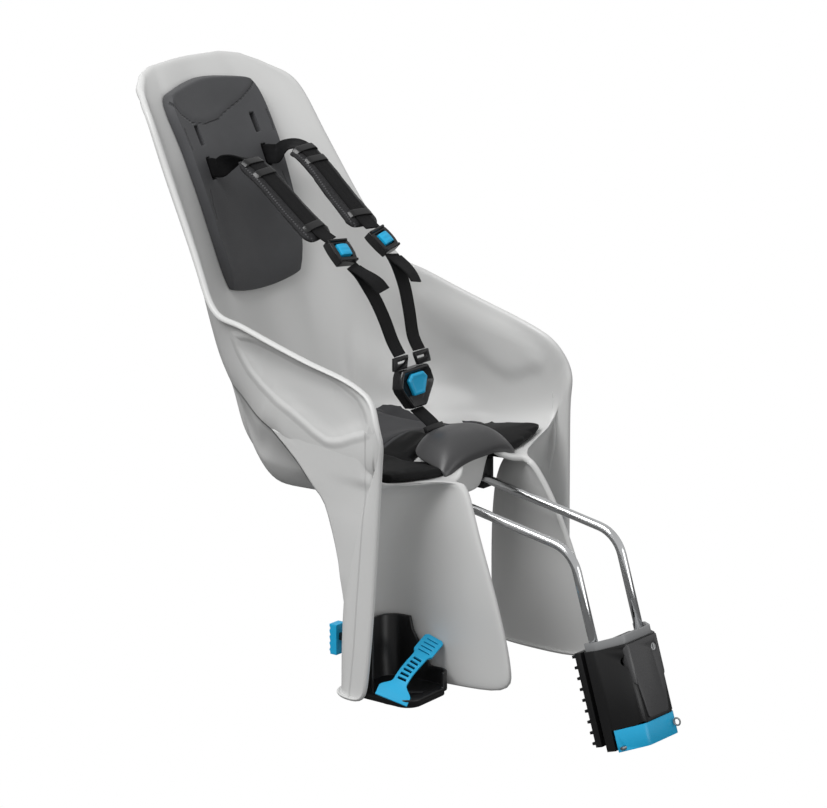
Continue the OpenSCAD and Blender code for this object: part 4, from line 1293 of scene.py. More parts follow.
@dataclass
class Pads:
    """Back pad and seat pad."""

    bench: Bench
    finishes: Finishes
    arch: tuple[tuple[float, float], ...] = (
        (-78, 603), (-72, 592), (-65, 580), (-52, 569), (-27, 564), (-4, 565), (12, 571), (39, 580),
        (62, 590), (78, 603),
    )
    marks: tuple[tuple[tuple[float, float], ...], ...] = (
        ((62, 500), (64, 484), (66, 468)), ((70, 566), (71, 554), (70, 544)),
    )
    seams: tuple[tuple[tuple[float, float], ...], ...] = (
        ((58, 196), (56, 240), (60, 292), (0, 300)), ((-58, 196), (-56, 240), (-60, 292), (0, 300)),
        ((-60, 292), (-100, 290), (-140, 285)), ((60, 292), (100, 290), (140, 285)),
        ((-96, 292), (-96, 350), (-80, 415)), ((96, 292), (96, 350), (80, 415)),
    )
    half_widths: tuple[tuple[float, float], ...] = (
        (375, 0.82), (400, 0.80), (432, 0.80), (470, 0.82), (505, 0.84), (552, 0.90), (590, 0.97), (620, 1.0),
    )
    fixed_half: float = 57.0
    packed_half: float = 90.0
    rim_angle: float = 45.0
    rim_crease: float = 0.72
    head_rise: float = 0.0014
    seam_depth: float = 0.0013
    front_seam: float = 292.0
    nose_tuck: float = 21.0
    unmarked: float = 20.0

    def build(self) -> None:
        """Make both pads."""
        self.back_pad()
        self.seat_pad()

    def narrowed(self, x: float, z: float) -> float:
        """Place across the back pad, drawn in outside its strap slots.

        Args:
            x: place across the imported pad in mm.
            z: height in mm.

        Returns:
            The place across the narrower pad in mm.
        """
        share = self.half_widths[0][1]
        for (az, a), (bz, b) in zip(self.half_widths, self.half_widths[1:]):
            if az <= z <= bz:
                share = a + (b - a) * (z - az) / (bz - az)
        if abs(x) < self.fixed_half:
            return x
        grow = (self.packed_half * share - self.fixed_half) / (self.packed_half - self.fixed_half)
        return math.copysign(self.fixed_half + (abs(x) - self.fixed_half) * grow, x)

    def back_pad(self) -> None:
        """Moulded foam pad with a raised head panel, a pressed arch and strap slots."""
        wall = BVHTree.FromBMesh(self.bench.welded("seat_shell"))
        bm = self.bench.welded("back_pad", quads=True)
        for vert in bm.verts:
            x, y, z = vert.co / MM
            inner = self.narrowed(x, z)
            before = wall.ray_cast(mm(x, y - 60, z), Vector((0, 1, 0)))[0]
            after = wall.ray_cast(mm(inner, y - 60, z), Vector((0, 1, 0)))[0]
            shift = after.y - before.y if before and after else 0.0
            vert.co = Vector((inner * MM, vert.co.y + shift, vert.co.z))
        crease = bm.edges.layers.float.new("crease_edge")
        for edge in bm.edges:
            if edge.is_manifold and edge.calc_face_angle() > math.radians(self.rim_angle):
                edge[crease] = self.rim_crease
        pad = finish_mesh("back_pad_foam", bm)
        subdivide(pad, 3)
        pad.data.shade_smooth()
        grooves: list[float] = []
        for vert in pad.data.vertices:
            x, _, z = vert.co / MM
            front = vert.normal.y < -0.2
            near = line_distance(x, z, self.arch)
            marks = min(line_distance(abs(x), z, mark) for mark in self.marks)
            grooves.append(min(near, marks) if front else self.unmarked)
            rise = line_height(x, self.arch)
            if front and rise is not None and z > rise:
                vert.co.y -= self.head_rise * ease(near, 1.0, 5.0)
        write_numbers(pad.data, "groove", grooves)
        self.bench.place(pad, self.finishes.pad, "seat", "pad", "back_pad")

    def seat_pad(self) -> None:
        """Fuller pad on the pan, sewn across in front of its middle."""
        bm = self.bench.welded("seat_pad")
        for vert in bm.verts:
            x, y, z = vert.co / MM
            tuck = self.tuck(x, y)
            vert.co.x -= math.copysign(pan_inset(x, y, z) + tuck, x) * MM
            vert.co.z -= tuck * 0.2 * MM
        pad = finish_mesh("seat_pad_foam", bm)
        Swelling(voxel=0.004, pressure=4.0, cap=0.004).apply(pad, lambda p, n: 1.0 if n.z < 0.2 else 0.0)
        subdivide(pad, 1)
        grooves: list[float] = []
        fronts = [self.front_seam - v.co.y / MM - abs(v.co.x) / MM * 0.05 for v in pad.data.vertices]
        write_numbers(pad.data, "front", fronts)
        for vert in pad.data.vertices:
            x, y, _ = vert.co / MM
            near = min(line_distance(x, y, seam) for seam in self.seams)
            top = vert.normal.z > 0.3
            grooves.append(near if top else self.unmarked)
            if top:
                vert.co.z -= self.seam_depth * (1 - ease(near, 0.0, 6.0))
        write_numbers(pad.data, "groove", grooves)
        self.bench.place(pad, self.finishes.pad_dark, "seat", "pad", "seat_pad")

    def tuck(self, x: float, y: float) -> float:
        """How far the seat pad's front is drawn in under the nose cover.

        Args:
            x: place across in mm.
            y: depth in mm.

        Returns:
            The inset in mm.
        """
        return self.nose_tuck * ease(abs(x), 24, 46) * (1 - ease(abs(x), 62, 90)) * (1 - ease(y, 246, 262))


@dataclass
class NoseCover:
    """Domed cap on the nose between the legs, wider at its front edge."""

    bench: Bench
    finishes: Finishes
    stations: tuple[tuple[float, float, float, float], ...] = (
        (251, 36, 256, 246), (248, 47, 260, 243), (239, 54, 263, 240), (227, 58, 265.5, 238),
        (214, 60.5, 266, 236), (203, 62.5, 263.5, 234), (194, 63.5, 257, 233), (188.5, 63.5, 249, 230),
        (187.0, 62, 242, 225), (188.0, 60, 236, 221),
    )
    columns: int = 24
    front_bow: float = 5.0
    skin: float = 0.0045
    edge_radius: float = 0.0016

    def build(self) -> None:
        """Make the smooth cap."""
        bm = bmesh.new()
        rows: list[list[bmesh.types.BMVert]] = []
        for y, half, crown, edge in self.stations:
            row = []
            for k in range(self.columns + 1):
                share = 2 * k / self.columns - 1
                bow = self.front_bow * share ** 2 * ease(214 - y, 0, 26)
                height = crown - (crown - edge) * abs(share) ** 3
                row.append(bm.verts.new(mm(share * half, y + bow, height)))
            rows.append(row)
        for upper, lower in zip(rows, rows[1:]):
            for k in range(self.columns):
                bm.faces.new((upper[k], lower[k], lower[k + 1], upper[k + 1]))
        thicken(bm, self.skin, Vector((0, 0, 1)))
        soften(bm, self.edge_radius, angle=50, segments=3)
        cap = finish_mesh("nose_cap", bm)
        subdivide(cap, 1)
        cap.data.shade_smooth()
        self.bench.place(cap, self.finishes.nose, "seat", "nose", "nose_cover")


@dataclass
class Carrier:
    """Carry bar, the blocks that hold it and their screws."""

    bench: Bench
    finishes: Finishes

    def build(self) -> None:
        """Dress the bar and round the blocks."""
        self.bench.smooth_copy("carry_bar", self.finishes.bright, "bar")
        for node in ("bar_clamp_front", "bar_clamp_rear"):
            self.bench.rounded_copy(node, self.finishes.black, "black_plastic", 0.0012)
        self.bench.rounded_copy("clamp_screws", self.finishes.zinc, "steel", 0.0004)


@dataclass
class Bracket:
    """Two-part clamp with its cover, lock and release lever."""

    bench: Bench
    finishes: Finishes

    def build(self) -> None:
        """Round the mouldings and dress the metal."""
        f = self.finishes
        table = (
            ("bracket_housing", f.black, "black_plastic", 0.0016),
            ("bracket_cover", f.cover, "cover", 0.0009),
            ("bar_guide", f.guide, "guide", 0.0006),
            ("clamp_jaw", f.black, "black_plastic", 0.0008),
            ("release_lever", f.blue, "blue_plastic", 0.0012),
            ("clamp_bolts", f.zinc, "steel", 0.0005),
            ("lock_barrel", f.zinc, "steel", 0.0003),
        )
        for node, material, slot, width in table:
            self.bench.rounded_copy(node, material, slot, width)
        for node, material, slot in (("lever_pin", f.zinc, "steel"), ("pull_ring", f.guide, "guide"),
                                     ("housing_liner", f.rubber, "liner"), ("jaw_liner", f.rubber, "liner")):
            self.bench.smooth_copy(node, material, slot)


@dataclass
class Harness:
    """Shoulder straps with their pads and adjusters, lower straps, buckle and crotch strap."""

    bench: Bench
    finishes: Finishes
    web: float = 0.022
    thick: float = 0.0018
    top_route: tuple[tuple[float, float, float], ...] = (
        (49.68, 547.5, 514.2), (48.27, 536.7, 518.8), (47.46, 530.5, 521.4), (49, 519, 522.5),
        (48.6, 511, 528.5), (48, 502, 533.5), (46.8, 491, 537), (45.5, 479, 537), (45, 468, 532),
        (44.5, 456, 524.5), (44, 444, 515.5), (43, 431, 505), (42, 414, 491), (41, 397, 477.5),
        (39, 382, 466), (37.2, 370.7, 459.75),
    )
    top_widths: tuple[tuple[float, float, float], ...] = (
        (0, 0.391, 0.92), (0, 0.391, 0.92), (0, 0.391, 0.92), (0.2, 0.1, 1), (0.4, 0.2, 0.9),
        (0.7, 0.2, 0.6), (0.9, 0.1, 0.35), (0.97, 0, 0.15),
    ) + ((1, 0, 0),) * 8
    low_route: tuple[tuple[float, float, float], ...] = (
        (17, 290.8, 337.5), (18, 300, 352), (22, 308, 376), (26, 316, 396), (29, 323, 409),
        (32, 333, 424), (35.2, 343.3, 434.2),
    )
    tail_route: tuple[tuple[float, float, float], ...] = (
        (34.6, 338.5, 432.0), (33.4, 331, 428.5), (32.0, 322, 424.5), (30.4, 312, 418.5), (29, 304, 410),
    )
    crotch_root: tuple[float, float, float] = (0.0, 254.24, 242.04)
    crotch_steps: tuple[tuple[float, float, float], ...] = ((0, 0, -10.6), (0, 0, 0), (0, 1, 12), (0, 5, 20))
    buckle_foot: float = 27.8
    buckle_centre: tuple[float, float, float] = (0.0, 285.0, 303.0)
    buckle_tilt: float = 8.0
    adjuster_centre: tuple[float, float, float] = (36.2, 357.0, 447.0)
    adjuster_tilt: float = 47.0
    adjuster_cant: float = 9.0
    adjuster_size: tuple[float, float, float] = (30, 11, 30)
    well_half: float = 0.0092
    well_run: tuple[float, float] = (-0.008, 0.0085)
    well_depth: float = 0.0045
    bars_at: tuple[tuple[float, float], ...] = ((13.2, -5.4), (-13.6, -5.2))
    bar_radius: float = 0.0016
    bar_length: float = 0.0255
    key_size: tuple[float, float, float] = (16, 8.6, 14)
    sleeve_run: tuple[float, float] = (0.33, 0.955)
    sleeve_lift: float = 0.0055
    stitch_inset: float = 0.0042
    keepers_at: tuple[float, ...] = (0.09, 0.24, 0.88)
    keeper_profile: tuple[tuple[float, float], ...] = (
        (-17, 2.2), (-14.6, -0.2), (-12.2, -1.75), (-6, -2.2), (0, -2.3), (6, -2.2), (12.2, -1.75),
        (14.6, -0.2), (17, 2.2),
    )
    tail_lean: tuple[tuple[float, float, float], ...] = (
        (1, 0, 0), (1, 0, 0), (1, 0.0, -0.08), (1, 0.02, -0.2), (1, 0.05, -0.3),
    )
    case_outline: tuple[tuple[float, float], ...] = (
        (-26, 12), (-22, 18.5), (22, 18.5), (26, 12), (29.5, 0), (27, -6), (12, -26), (-12, -26),
        (-27, -6), (-29.5, 0),
    )
    case_heights: tuple[float, float] = (-7.5, 4.6)
    button_outline: tuple[tuple[float, float], ...] = (
        (-16.5, 6), (-10, 12.6), (10, 12.6), (16.5, 6), (9, -11.8), (-9, -11.8),
    )
    button_heights: tuple[float, float] = (3.4, 7.6)

    def build(self) -> None:
        """Make both sides and the buckle."""
        for side in Side:
            self.shoulder_strap(side)
            self.adjuster(side)
            self.lower_strap(side)
            self.tongue(side)
        self.crotch_strap()
        self.buckle()

    def mirrored(self, points: Sequence[Sequence[float]], side: Side) -> list[Vector]:
        """Points in millimetres, turned to metres on the given side."""
        return [mm(p[0] * side.sign, p[1], p[2]) for p in points]

    def widths_on(self, side: Side) -> list[Vector]:
        """Width directions of the shoulder strap; they keep the same face outwards on both sides."""
        return [Vector((p[0], p[1] * side.sign, p[2] * side.sign)) for p in self.top_widths]

    def shoulder_strap(self, side: Side) -> None:
        """Webbing from its slot over the sleeve to the adjuster, with the sleeve and its keepers.

        Args:
            side: which side.
        """
        name = side.value
        route = Route.through(self.mirrored(self.top_route, side), self.widths_on(side), 90)
        strap = swept(f"shoulder_webbing_{name}", route, even(self.web / 2), even(self.thick / 2), 0.3)
        self.bench.place(strap, self.finishes.webbing, "seat", "webbing", f"shoulder_strap_{name}")
        self.sleeve(side, route)

    def sleeve(self, side: Side, route: Route) -> None:
        """Padded sleeve under the webbing, with two keepers near its top and one at its foot.

        Args:
            side: which side.
            route: the webbing's route.
        """
        name = side.value
        stretch = route.part(*self.sleeve_run, 48)

        def half_width(share: float) -> float:
            """Rounded at both ends, a little narrower at the top."""
            end = min(share / 0.09, (1 - share) / 0.06, 1.0)
            return (0.0210 + 0.0030 * share) * (0.70 + 0.30 * math.sqrt(max(end, 0.0)))

        def half_depth(share: float) -> float:
            """Thin at both ends."""
            end = min(share / 0.12, (1 - share) / 0.08, 1.0)
            return 0.0040 * (0.35 + 0.65 * math.sqrt(max(end, 0.0)))

        pad = swept(f"shoulder_sleeve_{name}", stretch, half_width, half_depth, square=0.62, sides=24,
                    lift=self.sleeve_lift)
        Swelling(voxel=0.0024, pressure=3.0, cap=0.0014).apply(pad, lambda p, n: 0.0)
        subdivide(pad, 1)
        frames = [m.inverted() for m in stretch.frames()]
        lengths = stretch.lengths()
        grooves: list[float] = []
        along: list[float] = []
        for vert in pad.data.vertices:
            k = min(range(0, len(frames), 2), key=lambda j: (stretch.points[j] - vert.co).length_squared)
            local = frames[k] @ vert.co
            reach = half_width(lengths[k] / lengths[-1])
            grooves.append(abs(abs(local.x) - reach + self.stitch_inset) / MM)
            along.append((lengths[k] + local.z) / MM)
        write_numbers(pad.data, "groove", grooves)
        write_numbers(pad.data, "along", along)
        self.bench.place(pad, self.finishes.sleeve, "seat", "pad", f"shoulder_pad_{name}")
        for number, share in enumerate(self.keepers_at):
            self.keeper(side, stretch, share, number)

    def keeper(self, side: Side, route: Route, share: float, number: int) -> None:
        """Short band across the webbing, sewn to the sleeve on each side.

        Args:
            side: which shoulder.
            route: the sleeve's route.
            share: where the band lies along it.
            number: the band's number, for its name.
        """
        frame = route.part(share, share + 0.02, 2).frames()[0]
        line = [frame @ mm(x, y, 0) for x, y in self.keeper_profile]
        widths = [frame.to_3x3() @ Vector((0, 0, 1))] * len(line)
        band = swept(f"keeper_{side.value}_{number}", Route.through(line, widths, 24), even(0.0045),
                     even(0.0006), 0.4, 12)
        self.bench.place(band, self.finishes.black_gloss, "seat", "black_plastic")

    def adjuster_frame(self, side: Side) -> Matrix:
        """Find the axes of an adjuster.

        Args:
            side: which side.

        Returns:
            Its place and turn: x across, y into the child and z up along the strap.
        """
        x, y, z = self.adjuster_centre
        turn = Matrix.Rotation(math.radians(-self.adjuster_tilt), 4, "X")
        cant = Matrix.Rotation(math.radians(-self.adjuster_cant * side.sign), 4, "Y")
        return Matrix.Translation(mm(x * side.sign, y, z)) @ turn @ cant

    def adjuster(self, side: Side) -> None:
        """Cam lock on the strap: a tapered black frame with a blue button.

        Args:
            side: which side.
        """
        name = side.value
        frame = self.adjuster_frame(side)
        bm = block(self.adjuster_size, 5)
        for vert in bm.verts:
            x, y, z = vert.co / MM
            pinch = 1.0 - 0.13 * max(0.0, (-z - 3) / 12) - 0.05 * max(0.0, (z - 9) / 6)
            drop = 0.75 * max(0.0, (abs(z) - 8) / 7) * (1 if y < 0 else 0)
            vert.co = mm(x * pinch, y * (1 - 0.35 * drop), z)
        low, high = self.well_run
        top = [f for f in bm.faces if f.normal.y < -0.7 and abs(f.calc_center_median().x) < self.well_half
               and low < f.calc_center_median().z < high]
        bmesh.ops.inset_region(bm, faces=top, thickness=0.0006, depth=0.0)
        well = bmesh.ops.extrude_face_region(bm, geom=top)["geom"]
        bmesh.ops.delete(bm, geom=top, context="FACES")
        moved = [g for g in well if isinstance(g, bmesh.types.BMVert)]
        bmesh.ops.translate(bm, vec=(0, self.well_depth, 0), verts=moved)
        soften(bm, 0.0011, angle=35, segments=3)
        bmesh.ops.transform(bm, matrix=frame, verts=bm.verts)
        body = finish_mesh(f"adjuster_frame_{name}", bm, 50)
        self.bench.place(body, self.finishes.black_gloss, "seat", "black_plastic", f"adjuster_{name}")
        self.adjuster_bars(side, frame)
        self.adjuster_button(side, frame)

    def adjuster_bars(self, side: Side, frame: Matrix) -> None:
        """Two cross bars that the webbing is threaded round.

        Args:
            side: which side.
            frame: the adjuster's axes.
        """
        bm = bmesh.new()
        for z, y in self.bars_at:
            made = bmesh.ops.create_cone(bm, cap_ends=True, segments=16, radius1=self.bar_radius,
                                         radius2=self.bar_radius, depth=self.bar_length)["verts"]
            bmesh.ops.rotate(bm, matrix=Matrix.Rotation(math.pi / 2, 3, "Y"), verts=made)
            bmesh.ops.translate(bm, vec=mm(0, y, z), verts=made)
        bmesh.ops.transform(bm, matrix=frame, verts=bm.verts)
        bars = finish_mesh(f"adjuster_bars_{side.value}", bm)
        self.bench.place(bars, self.finishes.black_gloss, "seat", "black_plastic")

    def adjuster_button(self, side: Side, frame: Matrix) -> None:
        """Blue press button with low ribs across it.

        Args:
            side: which side.
            frame: the adjuster's axes.
        """
        name = side.value
        bm = block(self.key_size, 9)
        for vert in bm.verts:
            x, y, z = vert.co / MM
            if y < -4:
                crown = 0.8 * (1 - (x / 8) ** 2) - 0.5 * (z / 7) ** 2
                ribs = 0.35 * math.sin(z / 7 * math.pi * 2.5) * (1 if abs(x) < 6 else 0)
                y -= crown + ribs
            vert.co = mm(x * (1 - 0.02 * abs(z) / 7), y - 3.2, z - 0.5)
        soften(bm, 0.0012, angle=50, segments=3)
        bmesh.ops.transform(bm, matrix=frame, verts=bm.verts)
        button = finish_mesh(f"adjuster_key_{name}", bm, 60)
        self.bench.place(button, self.finishes.blue, f"adjuster_button_{name}", "blue_plastic",
                         f"adjuster_button_{name}")

    def lower_strap(self, side: Side) -> None:
        """Doubled webbing from the buckle's tongue to the adjuster, with the loose tail in front.

        Args:
            side: which side.
        """
        name = side.value
        points = self.mirrored(self.low_route, side)
        across = [Vector((1, 0, 0))] * len(points)
        route = Route.through(points, across, 40)
        strap = swept(f"lower_webbing_{name}", route, even(0.010), even(self.thick / 2), 0.3)
        self.bench.place(strap, self.finishes.webbing, "seat", "webbing", f"lower_strap_{name}")
        tail_points = self.mirrored(self.tail_route, side)
        lean = [Vector((x, y, z * side.sign)) for x, y, z in self.tail_lean]
        tail = swept(f"loose_tail_{name}", Route.through(tail_points, lean, 20), even(0.0105),
                     even(self.thick / 2), 0.3)
        self.bench.place(tail, self.finishes.webbing, "seat", "webbing")

    def buckle_frame(self) -> Matrix:
        """Axes of the buckle: x across, y up its face, z out towards the front."""
        turn = Matrix.Rotation(math.radians(-self.buckle_tilt), 4, "X")
        return Matrix.Translation(mm(*self.buckle_centre)) @ turn @ Matrix.Rotation(math.pi / 2, 4, "X")

    def tongue(self, side: Side) -> None:
        """Slotted tongue that plugs into the top of the buckle."""
        node = f"tongue_{side.value}"
        self.bench.rounded_copy(node, self.finishes.black_gloss, "black_plastic", 0.0006)

    def plate(self, bm: bmesh.types.BMesh, outline: Sequence[tuple[float, float]], low: float,
              high: float) -> None:
        """Add a flat plate to a mesh.

        Args:
            bm: the mesh.
            outline: its corners in mm.
            low: height of its underside in mm.
            high: height of its face in mm.
        """
        verts = [bm.verts.new(mm(x, y, low)) for x, y in outline]
        face = bm.faces.new(verts)
        made = bmesh.ops.extrude_face_region(bm, geom=[face])["geom"]
        tops = [g for g in made if isinstance(g, bmesh.types.BMVert)]
        bmesh.ops.translate(bm, vec=mm(0, 0, high - low), verts=tops)

    def buckle(self) -> None:
        """Buckle case with a raised face, and its blue centre button."""
        frame = self.buckle_frame()
        bm = bmesh.new()
        self.plate(bm, self.case_outline, *self.case_heights)
        bmesh.ops.recalc_face_normals(bm, faces=bm.faces)
        front = [f for f in bm.faces if f.normal.z > 0.9]
        stepped(bm, front, inset=0.0022, rise=2.6)
        stepped(bm, front, inset=0.0062, rise=-4.0)
        soften(bm, 0.0012, angle=22, segments=3)
        bmesh.ops.transform(bm, matrix=frame, verts=bm.verts)
        body = finish_mesh("buckle_case", bm, 45)
        self.bench.place(body, self.finishes.black_gloss, "seat", "black_plastic", "buckle_body")
        key = bmesh.new()
        self.plate(key, self.button_outline, *self.button_heights)
        bmesh.ops.recalc_face_normals(key, faces=key.faces)
        top = [f for f in key.faces if f.normal.z > 0.9]
        stepped(key, top, inset=0.003, rise=1.0)
        stepped(key, top, inset=0.0026, rise=-0.7)
        soften(key, 0.0009, angle=12, segments=3)
        bmesh.ops.transform(key, matrix=frame, verts=key.verts)
        button = finish_mesh("buckle_key", key, 45)
        self.bench.place(button, self.finishes.blue, "buckle_button", "blue_plastic", "buckle_button")

    def crotch_strap(self) -> None:
        """Short strap up from the pan to the buckle, with its tri-glide and the bar under the pan."""
        root = Vector(self.crotch_root)
        tilt = math.radians(self.buckle_tilt)
        end = Vector(self.buckle_centre) - self.buckle_foot * Vector((0, math.sin(tilt), math.cos(tilt)))
        points = [(root + Vector(s)) * MM for s in self.crotch_steps] + [end * MM]
        route = Route.through(points, [Vector((1, 0, 0))] * len(points), 24)
        strap = swept("crotch_webbing", route, even(self.web / 2), even(self.thick / 2), 0.3)
        self.bench.place(strap, self.finishes.webbing, "seat", "webbing", "crotch_strap")
        self.bench.rounded_copy("crotch_slide", self.finishes.black_gloss, "black_plastic", 0.0005)
        self.bench.rounded_copy("crotch_anchor", self.finishes.black, "black_plastic", 0.0008)
        self.bench.rounded_copy("strap_anchor", self.finishes.black, "black_plastic", 0.0008, angle=24)


@dataclass
class Footrests:
    """Footrests with their blue straps and latches."""

    bench: Bench
    finishes: Finishes
    strap_route: tuple[tuple[float, float, float], ...] = (
        (86, 188, 52), (96, 187, 48.5), (107, 186, 44), (119, 185, 39), (131, 185, 33.5), (143, 185, 27),
        (154, 184.5, 19), (163, 184, 11.5), (169.5, 184, 4),
    )
    strap_widths: tuple[tuple[float, float, float], ...] = ((0, 0.9, 0.45),) * 6 + (
        (0, 0.85, 0.55), (0, 0.78, 0.66), (0, 0.74, 0.72))
    half_width: float = 0.0098
    half_depth: float = 0.0015
    latch_at: tuple[float, float, float] = (149.5, 273.6, 51)
    latch_size: tuple[float, float, float] = (15, 9, 34)
    rib_height: float = 0.0009
    ladder_run: tuple[float, float] = (0.34, 0.72)
    ladder_half: float = 0.55
    head_run: tuple[float, float] = (0.05, 0.28)
    head_half: float = 0.62
    edge_radius: float = 0.0005
    rows: int = 63
    columns: int = 10

    def build(self) -> None:
        """Make both sides."""
        for side in Side:
            name = side.value
            self.bench.rounded_copy(f"footrest_{name}", self.finishes.black, "black_plastic", 0.0011,
                                    angle=26)
            self.latch(side)
            self.strap(side)

    def latch(self, side: Side) -> None:
        """Blue slider behind the guard, with finger ribs.

        Args:
            side: which side.
        """
        name = side.value
        x, y, z = self.latch_at
        bm = block(self.latch_size, 13)
        for vert in bm.verts:
            if vert.co.y > 0.45 * self.latch_size[1] * MM:
                vert.co.y += self.rib_height * math.sin(vert.co.z / MM * 0.9)
        soften(bm, 0.0013, angle=50, segments=3)
        bmesh.ops.translate(bm, vec=mm(x * side.sign, y, z), verts=bm.verts)
        slider = finish_mesh(f"footrest_slider_{name}", bm, 50)
        self.bench.place(slider, self.finishes.blue, f"footrest_latch_{name}", "blue_plastic",
                         f"footrest_latch_{name}")

    def strap(self, side: Side) -> None:
        """Flat blue strap with a broad slotted head, rungs along its middle and a fanned foot.

        Args:
            side: which side.
        """
        name = side.value
        points = [mm(x * side.sign, y, z) for x, y, z in self.strap_route]
        widths = [Vector((x * side.sign, y, z)) for x, y, z in self.strap_widths]
        route = Route.through(points, widths, 64)
        frames = route.frames()
        bm = bmesh.new()
        bmesh.ops.create_grid(bm, x_segments=self.columns, y_segments=self.rows, size=1.0)
        gaps: list[bmesh.types.BMFace] = []
        for face in bm.faces:
            centre = face.calc_center_median()
            row = round((centre.y + 1) / 2 * self.rows - 0.5)
            if self.is_slot(row / self.rows, row, abs(centre.x)):
                gaps.append(face)
        bmesh.ops.delete(bm, geom=gaps, context="FACES")
        for vert in bm.verts:
            share = (vert.co.y + 1) / 2
            i = min(len(frames) - 1, round(share * (len(frames) - 1)))
            vert.co = frames[i] @ Vector((vert.co.x * self.reach(share), 0, 0))
        thicken(bm, 2 * self.half_depth)
        strap = finish_mesh(f"foot_strap_{name}_shape", bm, 50)
        bevel = strap.modifiers.new("Bevel", "BEVEL")
        bevel.width = self.edge_radius
        bevel.segments = 2
        bevel.limit_method = "ANGLE"
        bevel.angle_limit = math.radians(50)
        bake_modifiers(strap)
        self.bench.place(strap, self.finishes.blue, f"footrest_{name}", "blue_plastic", f"foot_strap_{name}")

    def reach(self, share: float) -> float:
        """Half width of the strap along its length.

        Args:
            share: place along it, 0 at the head and 1 at the foot.

        Returns:
            The half width in metres.
        """
        head = ease(share, 0.0, 0.03) * (1 - ease(share, 0.27, 0.33))
        foot = ease(share, 0.76, 0.90)
        return self.half_width * (0.84 + 0.34 * head + 1.05 * foot)

    def is_slot(self, share: float, row: int, across: float) -> bool:
        """Whether a cell of the strap is one of its slots.

        Args:
            share: the cell's place along the strap.
            row: its row.
            across: its distance from the middle as a share of the half width.

        Returns:
            True for a slot.
        """
        low, high = self.ladder_run
        ladder = low < share < high and row % 4 in (0, 1) and across < self.ladder_half
        low, high = self.head_run
        head = low < share < high and row % 4 == 0 and across < self.head_half
        return ladder or head


@dataclass
class RearReflector:
    """Red reflector on the back, in its black holder."""

    bench: Bench
    finishes: Finishes

    def build(self) -> None:
        """Round and dress both pieces."""
        self.bench.rounded_copy("reflector_holder", self.finishes.black, "black_plastic", 0.003, segments=4)
        self.bench.rounded_copy("reflector", self.finishes.lens, "red_reflector", 0.0016, segments=3)


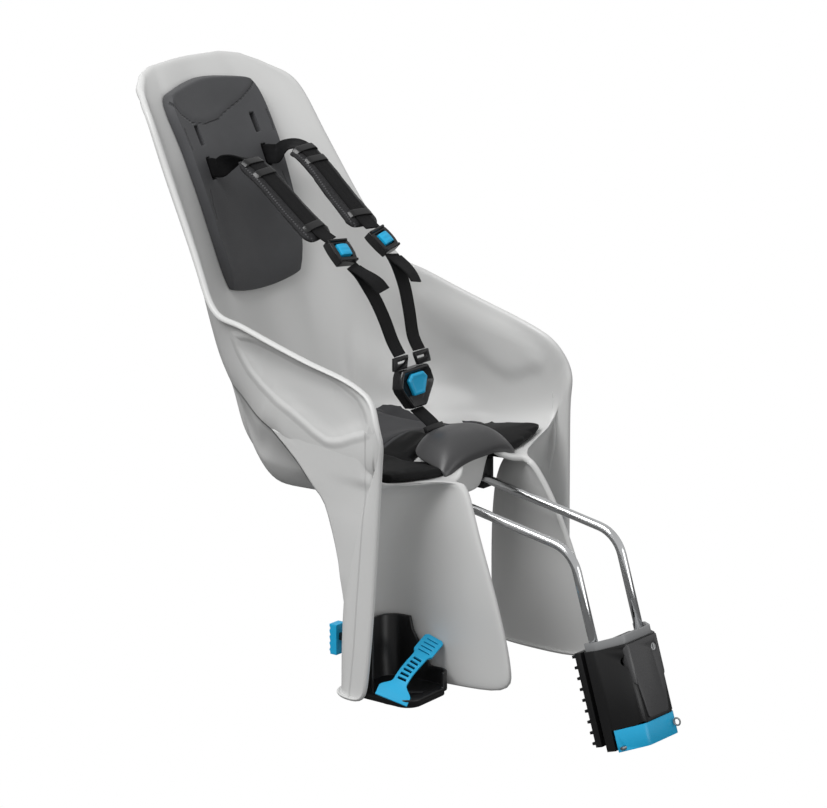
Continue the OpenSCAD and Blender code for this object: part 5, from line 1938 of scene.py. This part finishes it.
@dataclass(frozen=True)
class Studio:
    """Camera, floor, lamps and world."""

    eye: tuple[float, float, float] = (-3.684255, -2.614158, 1.542530)
    aim: tuple[float, float, float] = (-0.117957, 0.192534, 0.320238)
    roll: float = -0.159225
    lens: float = 192.406
    floor_gap: float = 0.16
    floor_half: float = 14.0
    floor_colour: tuple[float, float, float, float] = (0.14, 0.14, 0.14, 1.0)
    air: float = 0.51
    lamp_table: tuple[tuple[str, tuple[float, float, float], float, float], ...] = (
        ("key", (-2.3, 0.6, 3.2), 2.0, 104.0),
        ("fill", (0.4, -4.2, 0.6), 2.6, 44.0),
        ("rear", (1.2, 3.4, 2.6), 2.4, 14.0),
    )
    lamp_aim: tuple[float, float, float] = (0, 0.2, 0.3)

    def build(self) -> None:
        """Set up everything that isn't the seat."""
        scene = bpy.context.scene
        scene.view_settings.view_transform = "Standard"
        self.camera(scene)
        self.floor()
        self.lamps()
        self.world(scene)

    def camera(self, scene: bpy.types.Scene) -> None:
        """Camera where the photograph's stood, aimed at the seat.

        Args:
            scene: the scene that looks through it.
        """
        data = bpy.data.cameras.new("camera")
        data.lens = self.lens
        data.sensor_width = 36.0
        data.sensor_fit = "HORIZONTAL"
        data.clip_end = 100.0
        camera = bpy.data.objects.new("camera", data)
        scene.collection.objects.link(camera)
        heading = (Vector(self.aim) - Vector(self.eye)).to_track_quat("-Z", "Y").to_matrix().to_4x4()
        turn = Matrix.Rotation(math.radians(self.roll), 4, "Z")
        camera.matrix_world = Matrix.Translation(self.eye) @ heading @ turn
        scene.camera = camera

    def floor(self) -> None:
        """Plain pale floor a little below the seat."""
        bm = bmesh.new()
        bmesh.ops.create_grid(bm, x_segments=1, y_segments=1, size=self.floor_half)
        bmesh.ops.translate(bm, vec=(0, 0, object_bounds()[0][2] - self.floor_gap), verts=bm.verts)
        floor = finish_mesh("floor", bm)
        tree = ShaderTree("floor_paint")
        seen = tree.node("ShaderNodeLightPath").outputs["Is Camera Ray"]
        paint = tree.node("ShaderNodeBsdfDiffuse", None, {"Color": self.floor_colour})
        white = tree.node("ShaderNodeEmission", None, {"Color": (1, 1, 1, 1), "Strength": 1.0})
        both = tree.node("ShaderNodeMixShader", None, {0: seen, 1: paint.outputs[0], 2: white.outputs[0]})
        tree.node("ShaderNodeOutputMaterial", None, {0: both.outputs[0]})
        floor.data.materials.append(tree.material)
        floor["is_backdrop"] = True

    def lamps(self) -> None:
        """Large soft lamps: a key from the upper left, a fill from the right and one from behind."""
        for name, place, size, power in self.lamp_table:
            data = bpy.data.lights.new(name, "AREA")
            data.shape = "SQUARE"
            data.size = size
            data.energy = power
            lamp = bpy.data.objects.new(name, data)
            bpy.context.scene.collection.objects.link(lamp)
            lamp.location = place
            beam = Vector(self.lamp_aim) - Vector(place)
            lamp.rotation_euler = beam.to_track_quat("-Z", "Y").to_euler()

    def world(self, scene: bpy.types.Scene) -> None:
        """Even soft light all round, and plain white where the camera looks past the floor.

        Args:
            scene: the scene that it lights.
        """
        world = bpy.data.worlds.new("air")
        scene.world = world
        world.use_nodes = True
        nodes, links = world.node_tree.nodes, world.node_tree.links
        nodes.clear()
        rays = nodes.new("ShaderNodeLightPath")
        mix = nodes.new("ShaderNodeMixShader")
        links.new(rays.outputs["Is Camera Ray"], mix.inputs[0])
        for socket, strength in ((1, self.air), (2, 1.0)):
            light = nodes.new("ShaderNodeBackground")
            light.inputs[0].default_value = (1, 1, 1, 1)
            light.inputs[1].default_value = strength
            links.new(light.outputs[0], mix.inputs[socket])
        out = nodes.new("ShaderNodeOutputWorld")
        links.new(mix.outputs[0], out.inputs[0])


def main() -> None:
    """Build the whole seat and its studio."""
    logging.basicConfig(level=logging.INFO, format="%(name)s: %(message)s")
    bench = Bench()
    finishes = Finishes()
    Studio().build()
    for part in (Shell, Pads, NoseCover, Carrier, Bracket, Harness, Footrests, RearReflector):
        part(bench, finishes).build()


if __name__ == "__main__":
    main()
